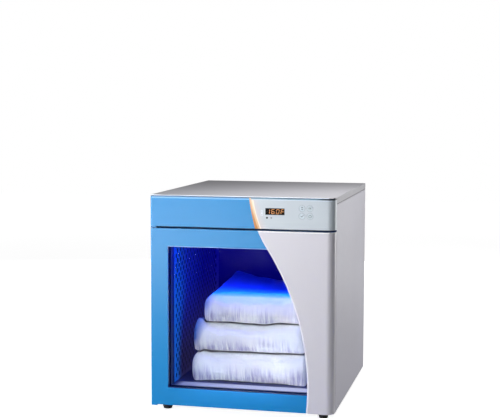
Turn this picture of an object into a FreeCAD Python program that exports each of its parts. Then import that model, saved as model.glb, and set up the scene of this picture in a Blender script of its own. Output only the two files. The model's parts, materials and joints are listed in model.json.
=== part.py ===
import FreeCAD, Part
import math
import os

import Sketcher

# Countertop blanket warming cabinet: an insulated steel casing round a chamber with perforated side
# walls and heating cable behind them, a glazed door hung on pivots at its left edge, and a control
# panel above the door. Millimetres. +Z up, the front faces -Y, and the origin is the middle of the
# footprint at the level that the feet stand on.

Vector = FreeCAD.Vector
X_AXIS = Vector(1, 0, 0)
Y_AXIS = Vector(0, 1, 0)
Z_AXIS = Vector(0, 0, 1)

SIZES = [
    # casing
    ("body_width", 525),
    ("body_depth", 623),
    ("body_height", 600),
    ("sheet_gauge", 1.2),
    ("frame_gauge", 1.5),
    ("lip_lap", 15),
    ("pan_flange", 15),
    ("seam", 1.5),
    # lid
    ("lid_gauge", 1.5),
    ("lid_skirt", 19),
    ("lid_lip", 2.2),
    ("lid_gap", 1.5),
    ("lid_edge_radius", 1.6),
    # rounded front corners of the lid, the control panel and the door
    ("corner_radius", 21.5),
    ("left_corner_radius", 4),
    # feet
    ("foot_height", 20),
    ("foot_top_radius", 17.5),
    ("foot_base_radius", 12),
    ("foot_bore_radius", 6),
    ("foot_bore_depth", 12),
    ("foot_inset_x", 35.5),
    ("foot_front_y", 47),
    ("foot_rear_y", 45),
    # screws
    ("screw_radius", 2),
    ("screw_head_radius", 4),
    ("screw_head_height", 2.4),
    ("screw_hole_radius", 2.1),
    # door
    ("door_thickness", 26),
    ("door_clearance", 1),
    ("gasket_gap", 4),
    ("gasket_width", 10),
    ("gasket_lap", 12),
    ("gasket_clearance", 0.3),
    ("cover_thickness", 3.2),
    ("cover_bevel_width", 4.6),
    ("cover_bevel_depth", 2.6),
    # edge of the cover: an upright point low on the door, an arc leaning left, and a reverse arc
    ("sweep_inset", 73.8),
    ("sweep_edge_z", 64),
    ("sweep_lower_radius", 725),
    ("sweep_join_drop", 46.5),
    ("sweep_upper_radius", 287),
    # window
    ("stile_width", 50),
    ("top_rail", 49.5),
    ("bottom_rail", 51),
    ("window_edge_radius", 1),
    ("glass_thickness", 4),
    ("glass_lap", 8),
    ("spacer_depth", 5),
    ("spacer_width", 6),
    ("door_liner_gauge", 1),
    ("door_liner_lap", 6),
    # pivots
    ("pivot_inset_x", 10),
    ("pivot_inset_y", 14),
    ("pin_radius", 3),
    ("pin_reach", 9.5),
    ("bush_clearance", 0.05),
    ("bush_radius", 5),
    ("bush_length", 9),
    ("bush_flange_radius", 7),
    ("bush_flange", 0.7),
    ("bracket_thickness", 4.2),
    ("lower_bracket_thickness", 3),
    ("bracket_width", 16.5),
    ("bracket_reach", 32),
    # finger pull and catch
    ("pull_inset", 112.5),
    ("pull_width", 96),
    ("pull_depth", 17),
    ("pull_height", 14),
    ("pull_wall", 1.5),
    ("magnet_width", 12),
    ("magnet_thickness", 5),
    ("magnet_height", 80),
    # control panel
    ("fascia_height", 84.8),
    ("fascia_gap", 6),
    ("fascia_wall", 3),
    ("overlay_gauge", 1),
    ("stripe_overrun", 2),
    ("stripe_middle_rise", 6),
    ("stripe_left_top", 240.5),
    ("stripe_left_middle", 234),
    ("stripe_left_foot", 222.3),
    ("stripe_right_top", 235.5),
    ("stripe_right_middle", 226.9),
    ("stripe_right_foot", 210.3),
    ("display_inset", 167.1),
    ("display_drop", 40.3),
    ("display_width", 54),
    ("display_height", 18.5),
    ("display_ledge", 1.6),
    ("led_radius", 1.6),
    ("led_inset", 189.3),
    ("led_pitch", 12),
    ("led_drop", 57.8),
    ("key_inset", 91.5),
    ("key_pitch_x", 22),
    ("key_drop", 29.6),
    ("key_pitch_z", 21.5),
    ("key_radius", 7.2),
    ("key_clearance", 0.25),
    ("key_proud", 0.4),
    ("key_flange", 1.2),
    ("key_stem_radius", 2),
    ("key_travel", 0.8),
    ("board_setback", 16),
    ("board_gauge", 1.6),
    ("board_height", 66),
    ("board_width", 156),
    ("board_inset", 44.5),
    ("switch_height", 5),
    ("switch_size", 6),
    ("chip_size", 24),
    ("chip_height", 3),
    ("plug_width", 30),
    ("plug_height", 8),
    ("plug_depth", 9),
    ("plug_inset", 10),
    ("plug_rise", 4),
    ("boss_radius", 3.5),
    ("boss_edge", 1),
    ("boss_bite", 0.5),
    # chamber
    ("mouth_sleeve", 32),
    ("chamber_shoulder", 2.5),
    ("ceiling_rise", 14),
    ("chamber_floor", 40),
    ("back_insulation", 39.6),
    ("liner_gauge", 1),
    ("duct_depth", 13),
    ("perforated_gauge", 1),
    ("hole_radius", 7.2),
    ("hole_pitch_y", 30),
    ("hole_pitch_z", 14.6),
    ("hole_margin_front", 62),
    ("hole_margin_back", 26),
    ("hole_margin_z", 22),
    ("deck_rise", 10),
    ("deck_gauge", 1.5),
    ("deck_front", 36),
    ("deck_back_gap", 20),
    ("deck_side_gap", 1.5),
    ("tray_gap", 5.7),
    ("panel_gap", 0.5),
    # heating cable
    ("cable_radius", 2.5),
    ("cable_clearance", 0.2),
    ("cable_pitch", 41),
    ("cable_low", 32),
    ("cable_front", 46),
    ("cable_back", 60),
    # chamber light
    ("light_side_gap", 25),
    ("light_depth", 24),
    ("light_setback", 38),
    ("light_housing", 8),
    ("light_diffuser", 5),
    # probe and limit thermostat
    ("probe_x", 120),
    ("probe_drop", 40),
    ("probe_radius", 3),
    ("probe_length", 60),
    ("probe_nut_radius", 8),
    ("probe_nut_length", 5),
    ("limit_radius", 13),
    ("limit_height", 16),
    ("limit_tab_gauge", 0.8),
    ("limit_tab_spread", 6),
    ("limit_x", -60),
    ("limit_setback", 300),
    ("limit_room", 4),
    # folded blankets
    ("blanket_setback", 72),
    ("blanket_depth", 360),
    ("blanket_clearance", 0.3),
    ("blanket_round", 26),
    ("lower_left_gap", 44),
    ("lower_right_gap", 47),
    ("lower_height", 90.5),
    ("middle_left_gap", 49),
    ("middle_right_gap", 52),
    ("middle_height", 86.5),
    ("upper_left_gap", 81),
    ("upper_right_gap", 59),
    ("upper_height", 97),
    # electrical compartment
    ("inlet_inset", 72.5),
    ("inlet_drop", 52),
    ("inlet_width", 28),
    ("inlet_height", 20),
    ("inlet_length", 26),
    ("inlet_wall", 2),
    ("inlet_flange", 11),
    ("inlet_blade", 2),
    ("inlet_blade_pitch", 7),
    ("inlet_blade_step", 2),
    ("transformer_x", -150),
    ("transformer_setback", 330),
    ("transformer_width", 78),
    ("transformer_depth", 58),
    ("transformer_height", 62),
    ("transformer_core", 24),
    ("relay_x", 20),
    ("relay_width", 45),
    ("relay_depth", 58),
    ("relay_height", 26),
    ("terminal_x", 130),
    ("terminal_pitch", 11),
    ("terminal_count", 8),
    ("terminal_rib", 1.5),
    ("terminal_depth", 22),
    ("terminal_height", 20),
    # rear vents
    ("vent_width", 4),
    ("vent_height", 32),
    ("vent_pitch", 12),
    ("vent_count", 14),
    ("vent_inset", 62.5),
    ("vent_drop", 66),
]

os.makedirs("parts", exist_ok=True)
doc = FreeCAD.newDocument("warming_cabinet")
sheet = doc.addObject("Spreadsheet::Sheet", "sizes")
for row, (alias, millimetres) in enumerate(SIZES, start=1):
    sheet.set(f"A{row}", alias)
    sheet.set(f"B{row}", str(millimetres))
    sheet.setAlias(f"B{row}", alias)
doc.recompute()


class Size:
    """A length known both as a number and as a formula of the sheet's cells."""

    def __init__(self, number, formula):
        self.number = float(number)
        self.formula = formula

    def __float__(self):
        return self.number

    def __add__(self, other):
        return Size(self.number + float(other), f"({self.formula} + {formula(other)})")

    def __radd__(self, other):
        return self + other

    def __sub__(self, other):
        return Size(self.number - float(other), f"({self.formula} - {formula(other)})")

    def __rsub__(self, other):
        return Size(float(other) - self.number, f"({formula(other)} - {self.formula})")

    def __mul__(self, factor):
        return Size(self.number * float(factor), f"({self.formula} * {formula(factor)})")

    def __rmul__(self, factor):
        return self * factor

    def __truediv__(self, divisor):
        return Size(self.number / float(divisor), f"({self.formula} / {formula(divisor)})")

    def __neg__(self):
        return Size(-self.number, f"(-{self.formula})")


def formula(size):
    return size.formula if isinstance(size, Size) else repr(float(size))


class Sheet:
    """Reads a cell of the sheet by its alias, as a Size."""

    def __getattr__(self, alias):
        return Size(sheet.get(alias), f"sizes.{alias}")


s = Sheet()

# ---------------------------------------------------------------- levels worked out from the sizes
HALF_WIDTH = s.body_width / 2
INNER_HALF = HALF_WIDTH - s.sheet_gauge
FLANGE_HALF = INNER_HALF - s.sheet_gauge
COVER_FACE = -(s.cover_thickness + s.body_depth + s.screw_head_height) / 2
DOOR_FACE = COVER_FACE + s.cover_thickness
DOOR_BACK = DOOR_FACE + s.door_thickness
FRAME_FACE = DOOR_BACK + s.gasket_gap
FRAME_BACK = FRAME_FACE + s.frame_gauge
BODY_BACK = DOOR_FACE + s.body_depth
REAR_INSIDE = BODY_BACK - s.sheet_gauge
FLANGE_BACK = REAR_INSIDE - s.sheet_gauge
BASE = s.foot_height
BASE_TOP = BASE + s.sheet_gauge
TOP = BASE + s.body_height
LID_UNDERSIDE = TOP - s.lid_gauge
SKIRT_FOOT = TOP - s.lid_skirt
PANEL_TOP = SKIRT_FOOT - s.seam
LIP_FOOT = PANEL_TOP - s.lip_lap
FASCIA_TOP = TOP - s.lid_lip - s.lid_gap
FASCIA_FOOT = FASCIA_TOP - s.fascia_height
DOOR_FOOT = BASE + s.door_clearance
DOOR_TOP = FASCIA_FOOT - s.fascia_gap
BRACKET_FOOT = DOOR_TOP + s.door_clearance
TRAY_FOOT = BRACKET_FOOT + s.bracket_thickness
TRAY_TOP = TRAY_FOOT + s.sheet_gauge
PIVOT_X = -HALF_WIDTH + s.pivot_inset_x
PIVOT_Y = DOOR_FACE + s.pivot_inset_y
WINDOW_HALF = HALF_WIDTH - s.stile_width
WINDOW_FOOT = BASE + s.bottom_rail
WINDOW_TOP = DOOR_TOP - s.top_rail
FLOOR = BASE + s.chamber_floor
CEILING = WINDOW_TOP + s.ceiling_rise
ROOF = CEILING + s.liner_gauge
CHAMBER_HALF = WINDOW_HALF + s.chamber_shoulder
LINER_HALF = CHAMBER_HALF + s.perforated_gauge + s.duct_depth
LINER_OUTSIDE = LINER_HALF + s.liner_gauge
LINER_BACK = FLANGE_BACK - s.back_insulation
CHAMBER_BACK = LINER_BACK - s.liner_gauge
DECK_TOP = FLOOR + s.deck_rise
OUTER_GLASS_BACK = DOOR_BACK - s.door_liner_gauge - s.glass_thickness - s.spacer_depth
OUTER_GLASS_FACE = OUTER_GLASS_BACK - s.glass_thickness
INNER_GLASS_FACE = OUTER_GLASS_BACK + s.spacer_depth

pieces = []


def keep(label, shape_object):
    """Names a finished sub-part and lists it for writing."""
    shape_object.Label = label
    pieces.append(shape_object)
    return shape_object


# ---------------------------------------------------------------- primitives bound to the sheet
def place(item, x, y, z):
    for axis, size in zip("xyz", (x, y, z)):
        item.setExpression(f"Placement.Base.{axis}", formula(size))


def block(name, x, y, z):
    """A box between two limits on each axis."""
    box = doc.addObject("Part::Box", name)
    for side, (low, high) in zip(("Length", "Width", "Height"), (x, y, z)):
        box.setExpression(side, formula(high - low))
    place(box, x[0], y[0], z[0])
    return box


def rod(name, axis, radius, start, length):
    """A cylinder that begins at start and runs along axis."""
    cylinder = doc.addObject("Part::Cylinder", name)
    cylinder.Placement = FreeCAD.Placement(Vector(), FreeCAD.Rotation(Z_AXIS, axis))
    cylinder.setExpression("Radius", formula(radius))
    cylinder.setExpression("Height", formula(length))
    place(cylinder, *start)
    return cylinder


def fuse(name, solids):
    union = doc.addObject("Part::MultiFuse", name)
    union.Shapes = solids
    return union


def cut(name, base, tools):
    """Takes the tools out of the base."""
    result = doc.addObject("Part::Cut", name)
    result.Base = base
    result.Tool = tools[0] if len(tools) == 1 else fuse(f"{name}_tools", tools)
    return result


def group(name, solids):
    """Identical pieces that share one node."""
    compound = doc.addObject("Part::Compound", name)
    compound.Links = solids
    return compound


def screw(name, axis, seat, shank_length):
    """A pan-head screw: seat is the middle of the face under its head, axis the way its shank points."""
    head = rod(f"{name}_head", axis, s.screw_head_radius, seat, s.screw_head_height)
    offset = [at - s.screw_head_height * way for at, way in zip(seat, axis)]
    place(head, *offset)
    shank = rod(f"{name}_shank", axis, s.screw_radius, seat, shank_length)
    return fuse(name, [head, shank])


# ---------------------------------------------------------------- sketched plates
def origin_plane(body, role):
    return next(item for item in body.Origin.OriginFeatures if item.Role == role)


def pin_point(sketch, element, point, x, y):
    """Fixes one point of a sketch by its distances from the sketch's origin."""
    for kind, size, axis_line in (("DistanceX", x, -2), ("DistanceY", y, -1)):
        if float(size) == 0:
            sketch.addConstraint(Sketcher.Constraint("PointOnObject", element, point, axis_line))
            continue
        number = sketch.addConstraint(
            Sketcher.Constraint(kind, -1, 1, element, point, float(size)))
        sketch.setExpression(f"Constraints[{number}]", formula(size))


def add_polygon(sketch, corners):
    first = sketch.GeometryCount
    count = len(corners)
    for k in range(count):
        ends = [Vector(float(x), float(y), 0) for x, y in (corners[k], corners[(k + 1) % count])]
        sketch.addGeometry(Part.LineSegment(*ends), False)
    for k in range(count):
        sketch.addConstraint(
            Sketcher.Constraint("Coincident", first + k, 2, first + (k + 1) % count, 1))
    for k in range(count):
        pin_point(sketch, first + k, 1, *corners[k])


def add_rectangle(sketch, x, y):
    add_polygon(sketch, [(x[0], y[0]), (x[1], y[0]), (x[1], y[1]), (x[0], y[1])])


def add_circle(sketch, centre, radius):
    middle = Vector(float(centre[0]), float(centre[1]), 0)
    element = sketch.addGeometry(Part.Circle(middle, Z_AXIS, float(radius)), False)
    pin_point(sketch, element, 3, *centre)
    number = sketch.addConstraint(Sketcher.Constraint("Radius", element, float(radius)))
    sketch.setExpression(f"Constraints[{number}]", formula(radius))


def new_sketch(body, role):
    sketch = body.newObject("Sketcher::SketchObject", f"{body.Name}_sketch")
    sketch.AttachmentSupport = [(origin_plane(body, role), "")]
    sketch.MapMode = "FlatFace"
    return sketch


def plate(name, role, corner, width, height, thickness, windows=(), holes=()):
    """A padded plate. Windows are ((x, x), (y, y)) and holes ((x, y), radius), from its corner.
    On XZ_Plane the plate is upright, facing -Y; on XY_Plane it lies flat."""
    body = doc.addObject("PartDesign::Body", name)
    sketch = new_sketch(body, role)
    add_rectangle(sketch, (0, width), (0, height))
    for x, y in windows:
        add_rectangle(sketch, x, y)
    for centre, radius in holes:
        add_circle(sketch, centre, radius)
    pad = body.newObject("PartDesign::Pad", f"{name}_pad")
    pad.Profile = sketch
    pad.Reversed = role == "XZ_Plane"
    pad.setExpression("Length", formula(thickness))
    place(body, *corner)
    return body


def upright_frame(name, half_width, foot, top, face, back, border, border_foot=None):
    """A flat picture-frame with equal stiles and rails."""
    width = half_width * 2
    height = top - foot
    low = border if border_foot is None else border_foot
    opening = ((border, width - border), (low, height - border))
    return plate(name, "XZ_Plane", (-half_width, face, foot), width, height, back - face, [opening])


# ---------------------------------------------------------------- shapes with rounded plans
def as_feature(name, shape):
    """A sub-part whose outline no primitive gives."""
    feature = doc.addObject("Part::Feature", name)
    feature.Shape = shape
    feature.Placement = FreeCAD.Placement()
    return feature


def arc_through(*points):
    return Part.Arc(*[Vector(*[float(part) for part in point]) for point in points]).toShape()


def line(start, end):
    return Part.makeLine(*[Vector(*[float(part) for part in point]) for point in (start, end)])


def front_prism(inset, foot, top, back):
    """The front outline, square at the back and rounded at both front corners, as a solid.
    Inset moves its front and both sides inwards."""
    left = float(-HALF_WIDTH + inset)
    right = float(HALF_WIDTH - inset)
    front = float(DOOR_FACE + inset)
    round_left = max(float(s.left_corner_radius) - float(inset), 0.2)
    round_right = max(float(s.corner_radius) - float(inset), 0.2)
    return rounded_prism(left, right, front, float(back), round_left, round_right, foot, top)


def rounded_prism(left, right, front, back, round_left, round_right, foot, top):
    foot = float(foot)
    near = 1 - math.sqrt(0.5)
    edges = [
        line((left, back, foot), (left, front + round_left, foot)),
        arc_through((left, front + round_left, foot),
                    (left + near * round_left, front + near * round_left, foot),
                    (left + round_left, front, foot)),
        line((left + round_left, front, foot), (right - round_right, front, foot)),
        arc_through((right - round_right, front, foot),
                    (right - near * round_right, front + near * round_right, foot),
                    (right, front + round_right, foot)),
        line((right, front + round_right, foot), (right, back, foot)),
        line((right, back, foot), (left, back, foot)),
    ]
    return Part.Face(Part.Wire(edges)).extrude(Z_AXIS * (float(top) - foot))


def solid_box(x, y, z):
    size = [float(high) - float(low) for low, high in (x, y, z)]
    return Part.makeBox(*size, Vector(float(x[0]), float(y[0]), float(z[0])))


def edges_where(shape, test):
    """Edges whose middle point passes the test."""
    return [edge for edge in shape.Edges if test(edge.CenterOfMass)]


# ---------------------------------------------------------------- casing
def make_feet():
    """Four tapered rubber feet, each with a screw up its bore into the base pan."""
    screws = []
    for end, y in (("front", DOOR_FACE + s.foot_front_y), ("rear", BODY_BACK - s.foot_rear_y)):
        for side, way in (("left", -1), ("right", 1)):
            x = (HALF_WIDTH - s.foot_inset_x) * way
            name = f"foot_{end}_{side}"
            body = doc.addObject("PartDesign::Body", name)
            sketch = new_sketch(body, "XZ_Plane")
            add_polygon(sketch, [
                (s.foot_bore_radius, 0),
                (s.foot_base_radius, 0),
                (s.foot_top_radius, s.foot_height),
                (s.screw_hole_radius, s.foot_height),
                (s.screw_hole_radius, s.foot_bore_depth),
                (s.foot_bore_radius, s.foot_bore_depth),
            ])
            turn = body.newObject("PartDesign::Revolution", f"{name}_turn")
            turn.Profile = sketch
            turn.ReferenceAxis = (sketch, ["V_Axis"])
            turn.Angle = 360
            place(body, x, y, 0)
            keep(name, body)
            shank = BASE_TOP - s.foot_bore_depth
            screws.append(screw(f"foot_screw_{end}_{side}", Z_AXIS, (x, y, s.foot_bore_depth), shank))
    return screws


def foot_centres():
    for y in (DOOR_FACE + s.foot_front_y, BODY_BACK - s.foot_rear_y):
        for way in (-1, 1):
            yield (HALF_WIDTH - s.foot_inset_x) * way, y


BRACKET_X = -HALF_WIDTH + s.pivot_inset_x - s.screw_radius / 2
BRACKET_SCREWS = [FRAME_FACE + s.bracket_reach * share for share in (0.3, 0.72)]
REAR_SCREWS = [INNER_HALF * share for share in (-0.86, 0, 0.86)]
REAR_LOW = BASE + s.pan_flange / 2
REAR_HIGH = (SKIRT_FOOT + LID_UNDERSIDE) / 2


def make_base_pan():
    corner = (-INNER_HALF, FRAME_BACK, BASE)
    holes = [((x - corner[0], y - corner[1]), s.screw_hole_radius) for x, y in foot_centres()]
    holes += [((BRACKET_X - corner[0], y - corner[1]), s.screw_hole_radius) for y in BRACKET_SCREWS]
    floor = plate("base_pan_floor", "XY_Plane", corner, INNER_HALF * 2, REAR_INSIDE - FRAME_BACK,
                  s.sheet_gauge, holes=holes)
    rise = (BASE, BASE + s.pan_flange)
    left = block("base_pan_left", (-INNER_HALF, -FLANGE_HALF), (FRAME_BACK, REAR_INSIDE), rise)
    right = block("base_pan_right", (FLANGE_HALF, INNER_HALF), (FRAME_BACK, REAR_INSIDE), rise)
    back = block("base_pan_back", (-INNER_HALF, INNER_HALF), (FLANGE_BACK, REAR_INSIDE), rise)
    pan = fuse("base_pan_blank", [floor, left, right, back])
    drills = [rod(f"base_pan_drill_{k}", Y_AXIS, s.screw_hole_radius, (x, FLANGE_BACK - 1, REAR_LOW),
                  s.sheet_gauge + 2) for k, x in enumerate(REAR_SCREWS)]
    keep("base_pan", cut("base_pan", pan, drills))


def make_side_panels():
    """Flat skins, each with a lip stepped inwards by one gauge for the lid's skirt to lap."""
    for side, way in (("left", -1), ("right", 1)):
        outside = sorted((HALF_WIDTH * way, INNER_HALF * way), key=float)
        inside = sorted((INNER_HALF * way, FLANGE_HALF * way), key=float)
        name = f"side_panel_{side}"
        skin = block(f"{name}_skin", outside, (FRAME_FACE, BODY_BACK), (BASE, PANEL_TOP))
        lip = block(f"{name}_lip", inside, (FRAME_BACK, FLANGE_BACK), (LIP_FOOT, LID_UNDERSIDE))
        keep(name, fuse(name, [skin, lip]))


def make_rear_panel():
    """The rear skin: vent slots for the electrical compartment, the inlet's cut-out, screw holes."""
    corner = (-INNER_HALF, REAR_INSIDE, BASE)
    slots = []
    for k in range(int(float(s.vent_count))):
        x = s.vent_inset + s.vent_pitch * k - HALF_WIDTH - corner[0]
        foot = TOP - s.vent_drop - corner[2]
        slots.append(((x, x + s.vent_width), (foot, foot + s.vent_height)))
    inlet_x = HALF_WIDTH - s.inlet_inset - corner[0]
    inlet_z = TOP - s.inlet_drop - corner[2]
    slots.append(((inlet_x - s.inlet_width / 2, inlet_x + s.inlet_width / 2),
                  (inlet_z - s.inlet_height / 2, inlet_z + s.inlet_height / 2)))
    holes = [((x - corner[0], REAR_LOW - corner[2]), s.screw_hole_radius) for x in REAR_SCREWS]
    skin = plate("rear_panel_skin", "XZ_Plane", corner, INNER_HALF * 2, PANEL_TOP - BASE,
                 s.sheet_gauge, slots, holes)
    lip = block("rear_panel_lip", (-INNER_HALF, INNER_HALF), (FLANGE_BACK, REAR_INSIDE),
                (LIP_FOOT, LID_UNDERSIDE))
    drills = [rod(f"rear_panel_drill_{k}", Y_AXIS, s.screw_hole_radius, (x, FLANGE_BACK - 1, REAR_HIGH),
                  s.sheet_gauge + 2) for k, x in enumerate(REAR_SCREWS)]
    keep("rear_panel", cut("rear_panel", fuse("rear_panel_blank", [skin, lip]), drills))


def make_rear_screws():
    """Six screws through the rear: three into the base pan, three through the lid's skirt."""
    screws = []
    for k, x in enumerate(REAR_SCREWS):
        for level, z in (("low", REAR_LOW), ("high", REAR_HIGH)):
            screws.append(screw(f"rear_screw_{level}_{k}", -Y_AXIS, (x, BODY_BACK, z),
                                s.sheet_gauge * 2))
    return screws


def make_lid():
    """A pan with a skirt on three sides. Its front edge is a thin lip over the control panel."""
    outer = front_prism(0, SKIRT_FOOT, TOP, BODY_BACK)
    high = float(TOP) - 1e-3
    rims = edges_where(outer, lambda middle: middle.z > high)
    outer = outer.makeFillet(float(s.lid_edge_radius), rims)
    hollow = solid_box((-INNER_HALF, INNER_HALF), (FRAME_FACE - 1, REAR_INSIDE),
                       (SKIRT_FOOT - 1, LID_UNDERSIDE))
    step = solid_box((-HALF_WIDTH - 1, HALF_WIDTH + 1), (DOOR_FACE - 1, FRAME_FACE),
                     (SKIRT_FOOT - 1, TOP - s.lid_lip))
    lid = outer.cut(hollow).cut(step)
    for x in REAR_SCREWS:
        at = Vector(float(x), float(REAR_INSIDE) - 1, float(REAR_HIGH))
        lid = lid.cut(Part.makeCylinder(float(s.screw_hole_radius), float(s.sheet_gauge) + 2, at, Y_AXIS))
    keep("top_lid", as_feature("top_lid", lid))


def make_front_frame():
    """The face that the door closes on: a sheet with the chamber's mouth and a service opening
    behind the control panel, and a sleeve that lines the mouth."""
    corner = (-INNER_HALF, FRAME_FACE, BASE)
    height = LID_UNDERSIDE - BASE
    middle = INNER_HALF
    mouth = ((middle - WINDOW_HALF, middle + WINDOW_HALF), (WINDOW_FOOT - BASE, WINDOW_TOP - BASE))
    service = ((middle - WINDOW_HALF, middle + WINDOW_HALF),
               (TRAY_TOP - BASE + s.lip_lap, height - s.lip_lap))
    sheet_face = plate("front_frame_face", "XZ_Plane", corner, INNER_HALF * 2, height, s.frame_gauge,
                       [mouth, service])
    gauge = s.sheet_gauge
    sleeve_y = (FRAME_FACE, FRAME_BACK + s.mouth_sleeve)
    outside = block("mouth_outside", (-WINDOW_HALF - gauge, WINDOW_HALF + gauge), sleeve_y,
                    (WINDOW_FOOT - gauge, WINDOW_TOP + gauge))
    inside = block("mouth_inside", (-WINDOW_HALF, WINDOW_HALF),
                   (sleeve_y[0] - 1, sleeve_y[1] + 1), (WINDOW_FOOT, WINDOW_TOP))
    sleeve = cut("mouth_sleeve_ring", outside, [inside])
    frame = fuse("front_frame_blank", [sheet_face, sleeve])
    notch = block("front_frame_notch", (-HALF_WIDTH, -HALF_WIDTH + s.bracket_width + s.door_clearance),
                  (FRAME_FACE - 1, FRAME_BACK + 1), (BRACKET_FOOT, TRAY_FOOT))
    keep("front_frame", cut("front_frame", frame, [notch]))


def make_control_tray():
    """The shelf that carries the electrical parts, over the chamber's insulation."""
    corner = (-FLANGE_HALF, FRAME_BACK, TRAY_FOOT)
    holes = [((BRACKET_X - corner[0], y - corner[1]), s.screw_hole_radius) for y in BRACKET_SCREWS]
    body = plate("control_tray", "XY_Plane", corner, FLANGE_HALF * 2, FLANGE_BACK - FRAME_BACK,
                 s.sheet_gauge, holes=holes)
    keep("control_tray", body)


# ---------------------------------------------------------------- chamber
def make_liner():
    """A box open at the front, flush with the back of the front frame."""
    outside = block("liner_outside", (-LINER_OUTSIDE, LINER_OUTSIDE), (FRAME_BACK, LINER_BACK),
                    (FLOOR - s.liner_gauge, ROOF))
    inside = block("liner_inside", (-LINER_HALF, LINER_HALF), (FRAME_BACK - 1, CHAMBER_BACK),
                   (FLOOR, CEILING))
    probe_hole = rod("liner_probe_hole", Y_AXIS, s.probe_radius,
                     (s.probe_x, CHAMBER_BACK - 1, CEILING - s.probe_drop), s.liner_gauge + 2)
    keep("chamber_liner", cut("chamber_liner", outside, [inside, probe_hole]))


def make_perforated_panels():
    """Side walls of the chamber: round holes in staggered rows, with a plain margin at the front."""
    front = FRAME_BACK + s.panel_gap
    back = CHAMBER_BACK
    low = float(FLOOR)
    high = float(CEILING - s.panel_gap)
    radius = float(s.hole_radius)
    step_y = float(s.hole_pitch_y)
    step_z = float(s.hole_pitch_z)
    first_y = float(front + s.hole_margin_front)
    last_y = float(back - s.hole_margin_back)
    rows = int((high - low - 2 * float(s.hole_margin_z)) / step_z) + 1
    first_z = (low + high - (rows - 1) * step_z) / 2
    for side, way in (("left", -1), ("right", 1)):
        x = float(CHAMBER_HALF) * way
        corners = [Vector(x, float(front), low), Vector(x, float(back), low),
                   Vector(x, float(back), high), Vector(x, float(front), high)]
        wires = [Part.makePolygon(corners + corners[:1])]
        for row in range(rows):
            z = first_z + row * step_z
            y = first_y + (row % 2) * step_y / 2
            while y <= last_y:
                wires.append(Part.Wire(Part.makeCircle(radius, Vector(x, y, z), X_AXIS)))
                y += step_y
        face = Part.Face(wires[0])
        face = face.cut(Part.makeCompound([Part.Face(wire) for wire in wires[1:]]))
        sheet_solid = face.Faces[0].extrude(X_AXIS * (float(s.perforated_gauge) * way))
        name = f"perforated_panel_{side}"
        keep(name, as_feature(name, sheet_solid))


def make_deck():
    """The removable floor that the blankets lie on, standing on two turned-down flanges."""
    half = CHAMBER_HALF - s.deck_side_gap
    y = (FRAME_BACK + s.deck_front, CHAMBER_BACK - s.deck_back_gap)
    top = plate("chamber_deck_top", "XY_Plane", (-half, y[0], DECK_TOP - s.deck_gauge), half * 2,
                y[1] - y[0], s.deck_gauge)
    legs = []
    for side, x in (("left", (-half, -half + s.deck_gauge)), ("right", (half - s.deck_gauge, half))):
        legs.append(block(f"chamber_deck_{side}", x, y, (FLOOR, DECK_TOP)))
    keep("chamber_deck", fuse("chamber_deck", [top] + legs))


def make_insulation():
    """Five slabs between the liner and the casing. The top slab leaves a well for the limit
    thermostat, and the back slab a passage for the probe's lead."""
    y = (FRAME_BACK, FLANGE_BACK)
    below = (BASE_TOP, FLOOR - s.liner_gauge)
    above = (ROOF, TRAY_FOOT - s.tray_gap)
    keep("insulation_left", block("insulation_left", (-FLANGE_HALF, -LINER_OUTSIDE), y,
                                  (BASE_TOP, above[1])))
    keep("insulation_right", block("insulation_right", (LINER_OUTSIDE, FLANGE_HALF), y,
                                   (BASE_TOP, above[1])))
    keep("insulation_bottom", block("insulation_bottom", (-LINER_OUTSIDE, LINER_OUTSIDE), y, below))
    slab = block("insulation_top_slab", (-LINER_OUTSIDE, LINER_OUTSIDE), y, above)
    well = rod("insulation_top_well", Z_AXIS, s.limit_radius + s.limit_room,
               (s.limit_x, FRAME_FACE + s.limit_setback, above[0] - 1), above[1] - above[0] + 2)
    keep("insulation_top", cut("insulation_top", slab, [well]))
    back = block("insulation_back_slab", (-LINER_OUTSIDE, LINER_OUTSIDE), (LINER_BACK, FLANGE_BACK),
                 (FLOOR - s.liner_gauge, ROOF))
    passage = rod("insulation_back_passage", Y_AXIS, s.probe_radius * 2,
                  (s.probe_x, LINER_BACK - 1, CEILING - s.probe_drop), FLANGE_BACK - LINER_BACK + 2)
    keep("insulation_back", cut("insulation_back", back, [passage]))


def make_heating_cables():
    """One serpentine of sheathed cable on each liner wall, in the duct behind the holes. Both tails
    of it run back to the rear wall."""
    front = float(FRAME_FACE + s.cable_front)
    back = float(CHAMBER_BACK - s.cable_back)
    wall = float(CHAMBER_BACK)
    pitch = float(s.cable_pitch)
    turn = pitch / 2
    low = float(FLOOR + s.cable_low)
    room = float(CEILING - s.cable_low) - low
    runs = 2 * int((room / pitch + 1) / 2)
    for side, way in (("left", -1), ("right", 1)):
        x = float(LINER_HALF - s.cable_clearance - s.cable_radius) * way
        edges = []
        for k in range(runs):
            z = low + k * pitch
            start = wall if k == 0 else (back - turn if k % 2 == 0 else front + turn)
            end = front + turn if k % 2 == 0 else (wall if k == runs - 1 else back - turn)
            edges.append(line((x, start, z), (x, end, z)))
            if k < runs - 1:
                bulge = end - turn if k % 2 == 0 else end + turn
                edges.append(arc_through((x, end, z), (x, bulge, z + turn), (x, end, z + pitch)))
        path = Part.Wire(edges)
        section = Part.Wire(Part.makeCircle(float(s.cable_radius), Vector(x, wall, low), Y_AXIS))
        name = f"heating_cable_{side}"
        keep(name, as_feature(name, path.makePipeShell([section], True, True)))


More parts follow.
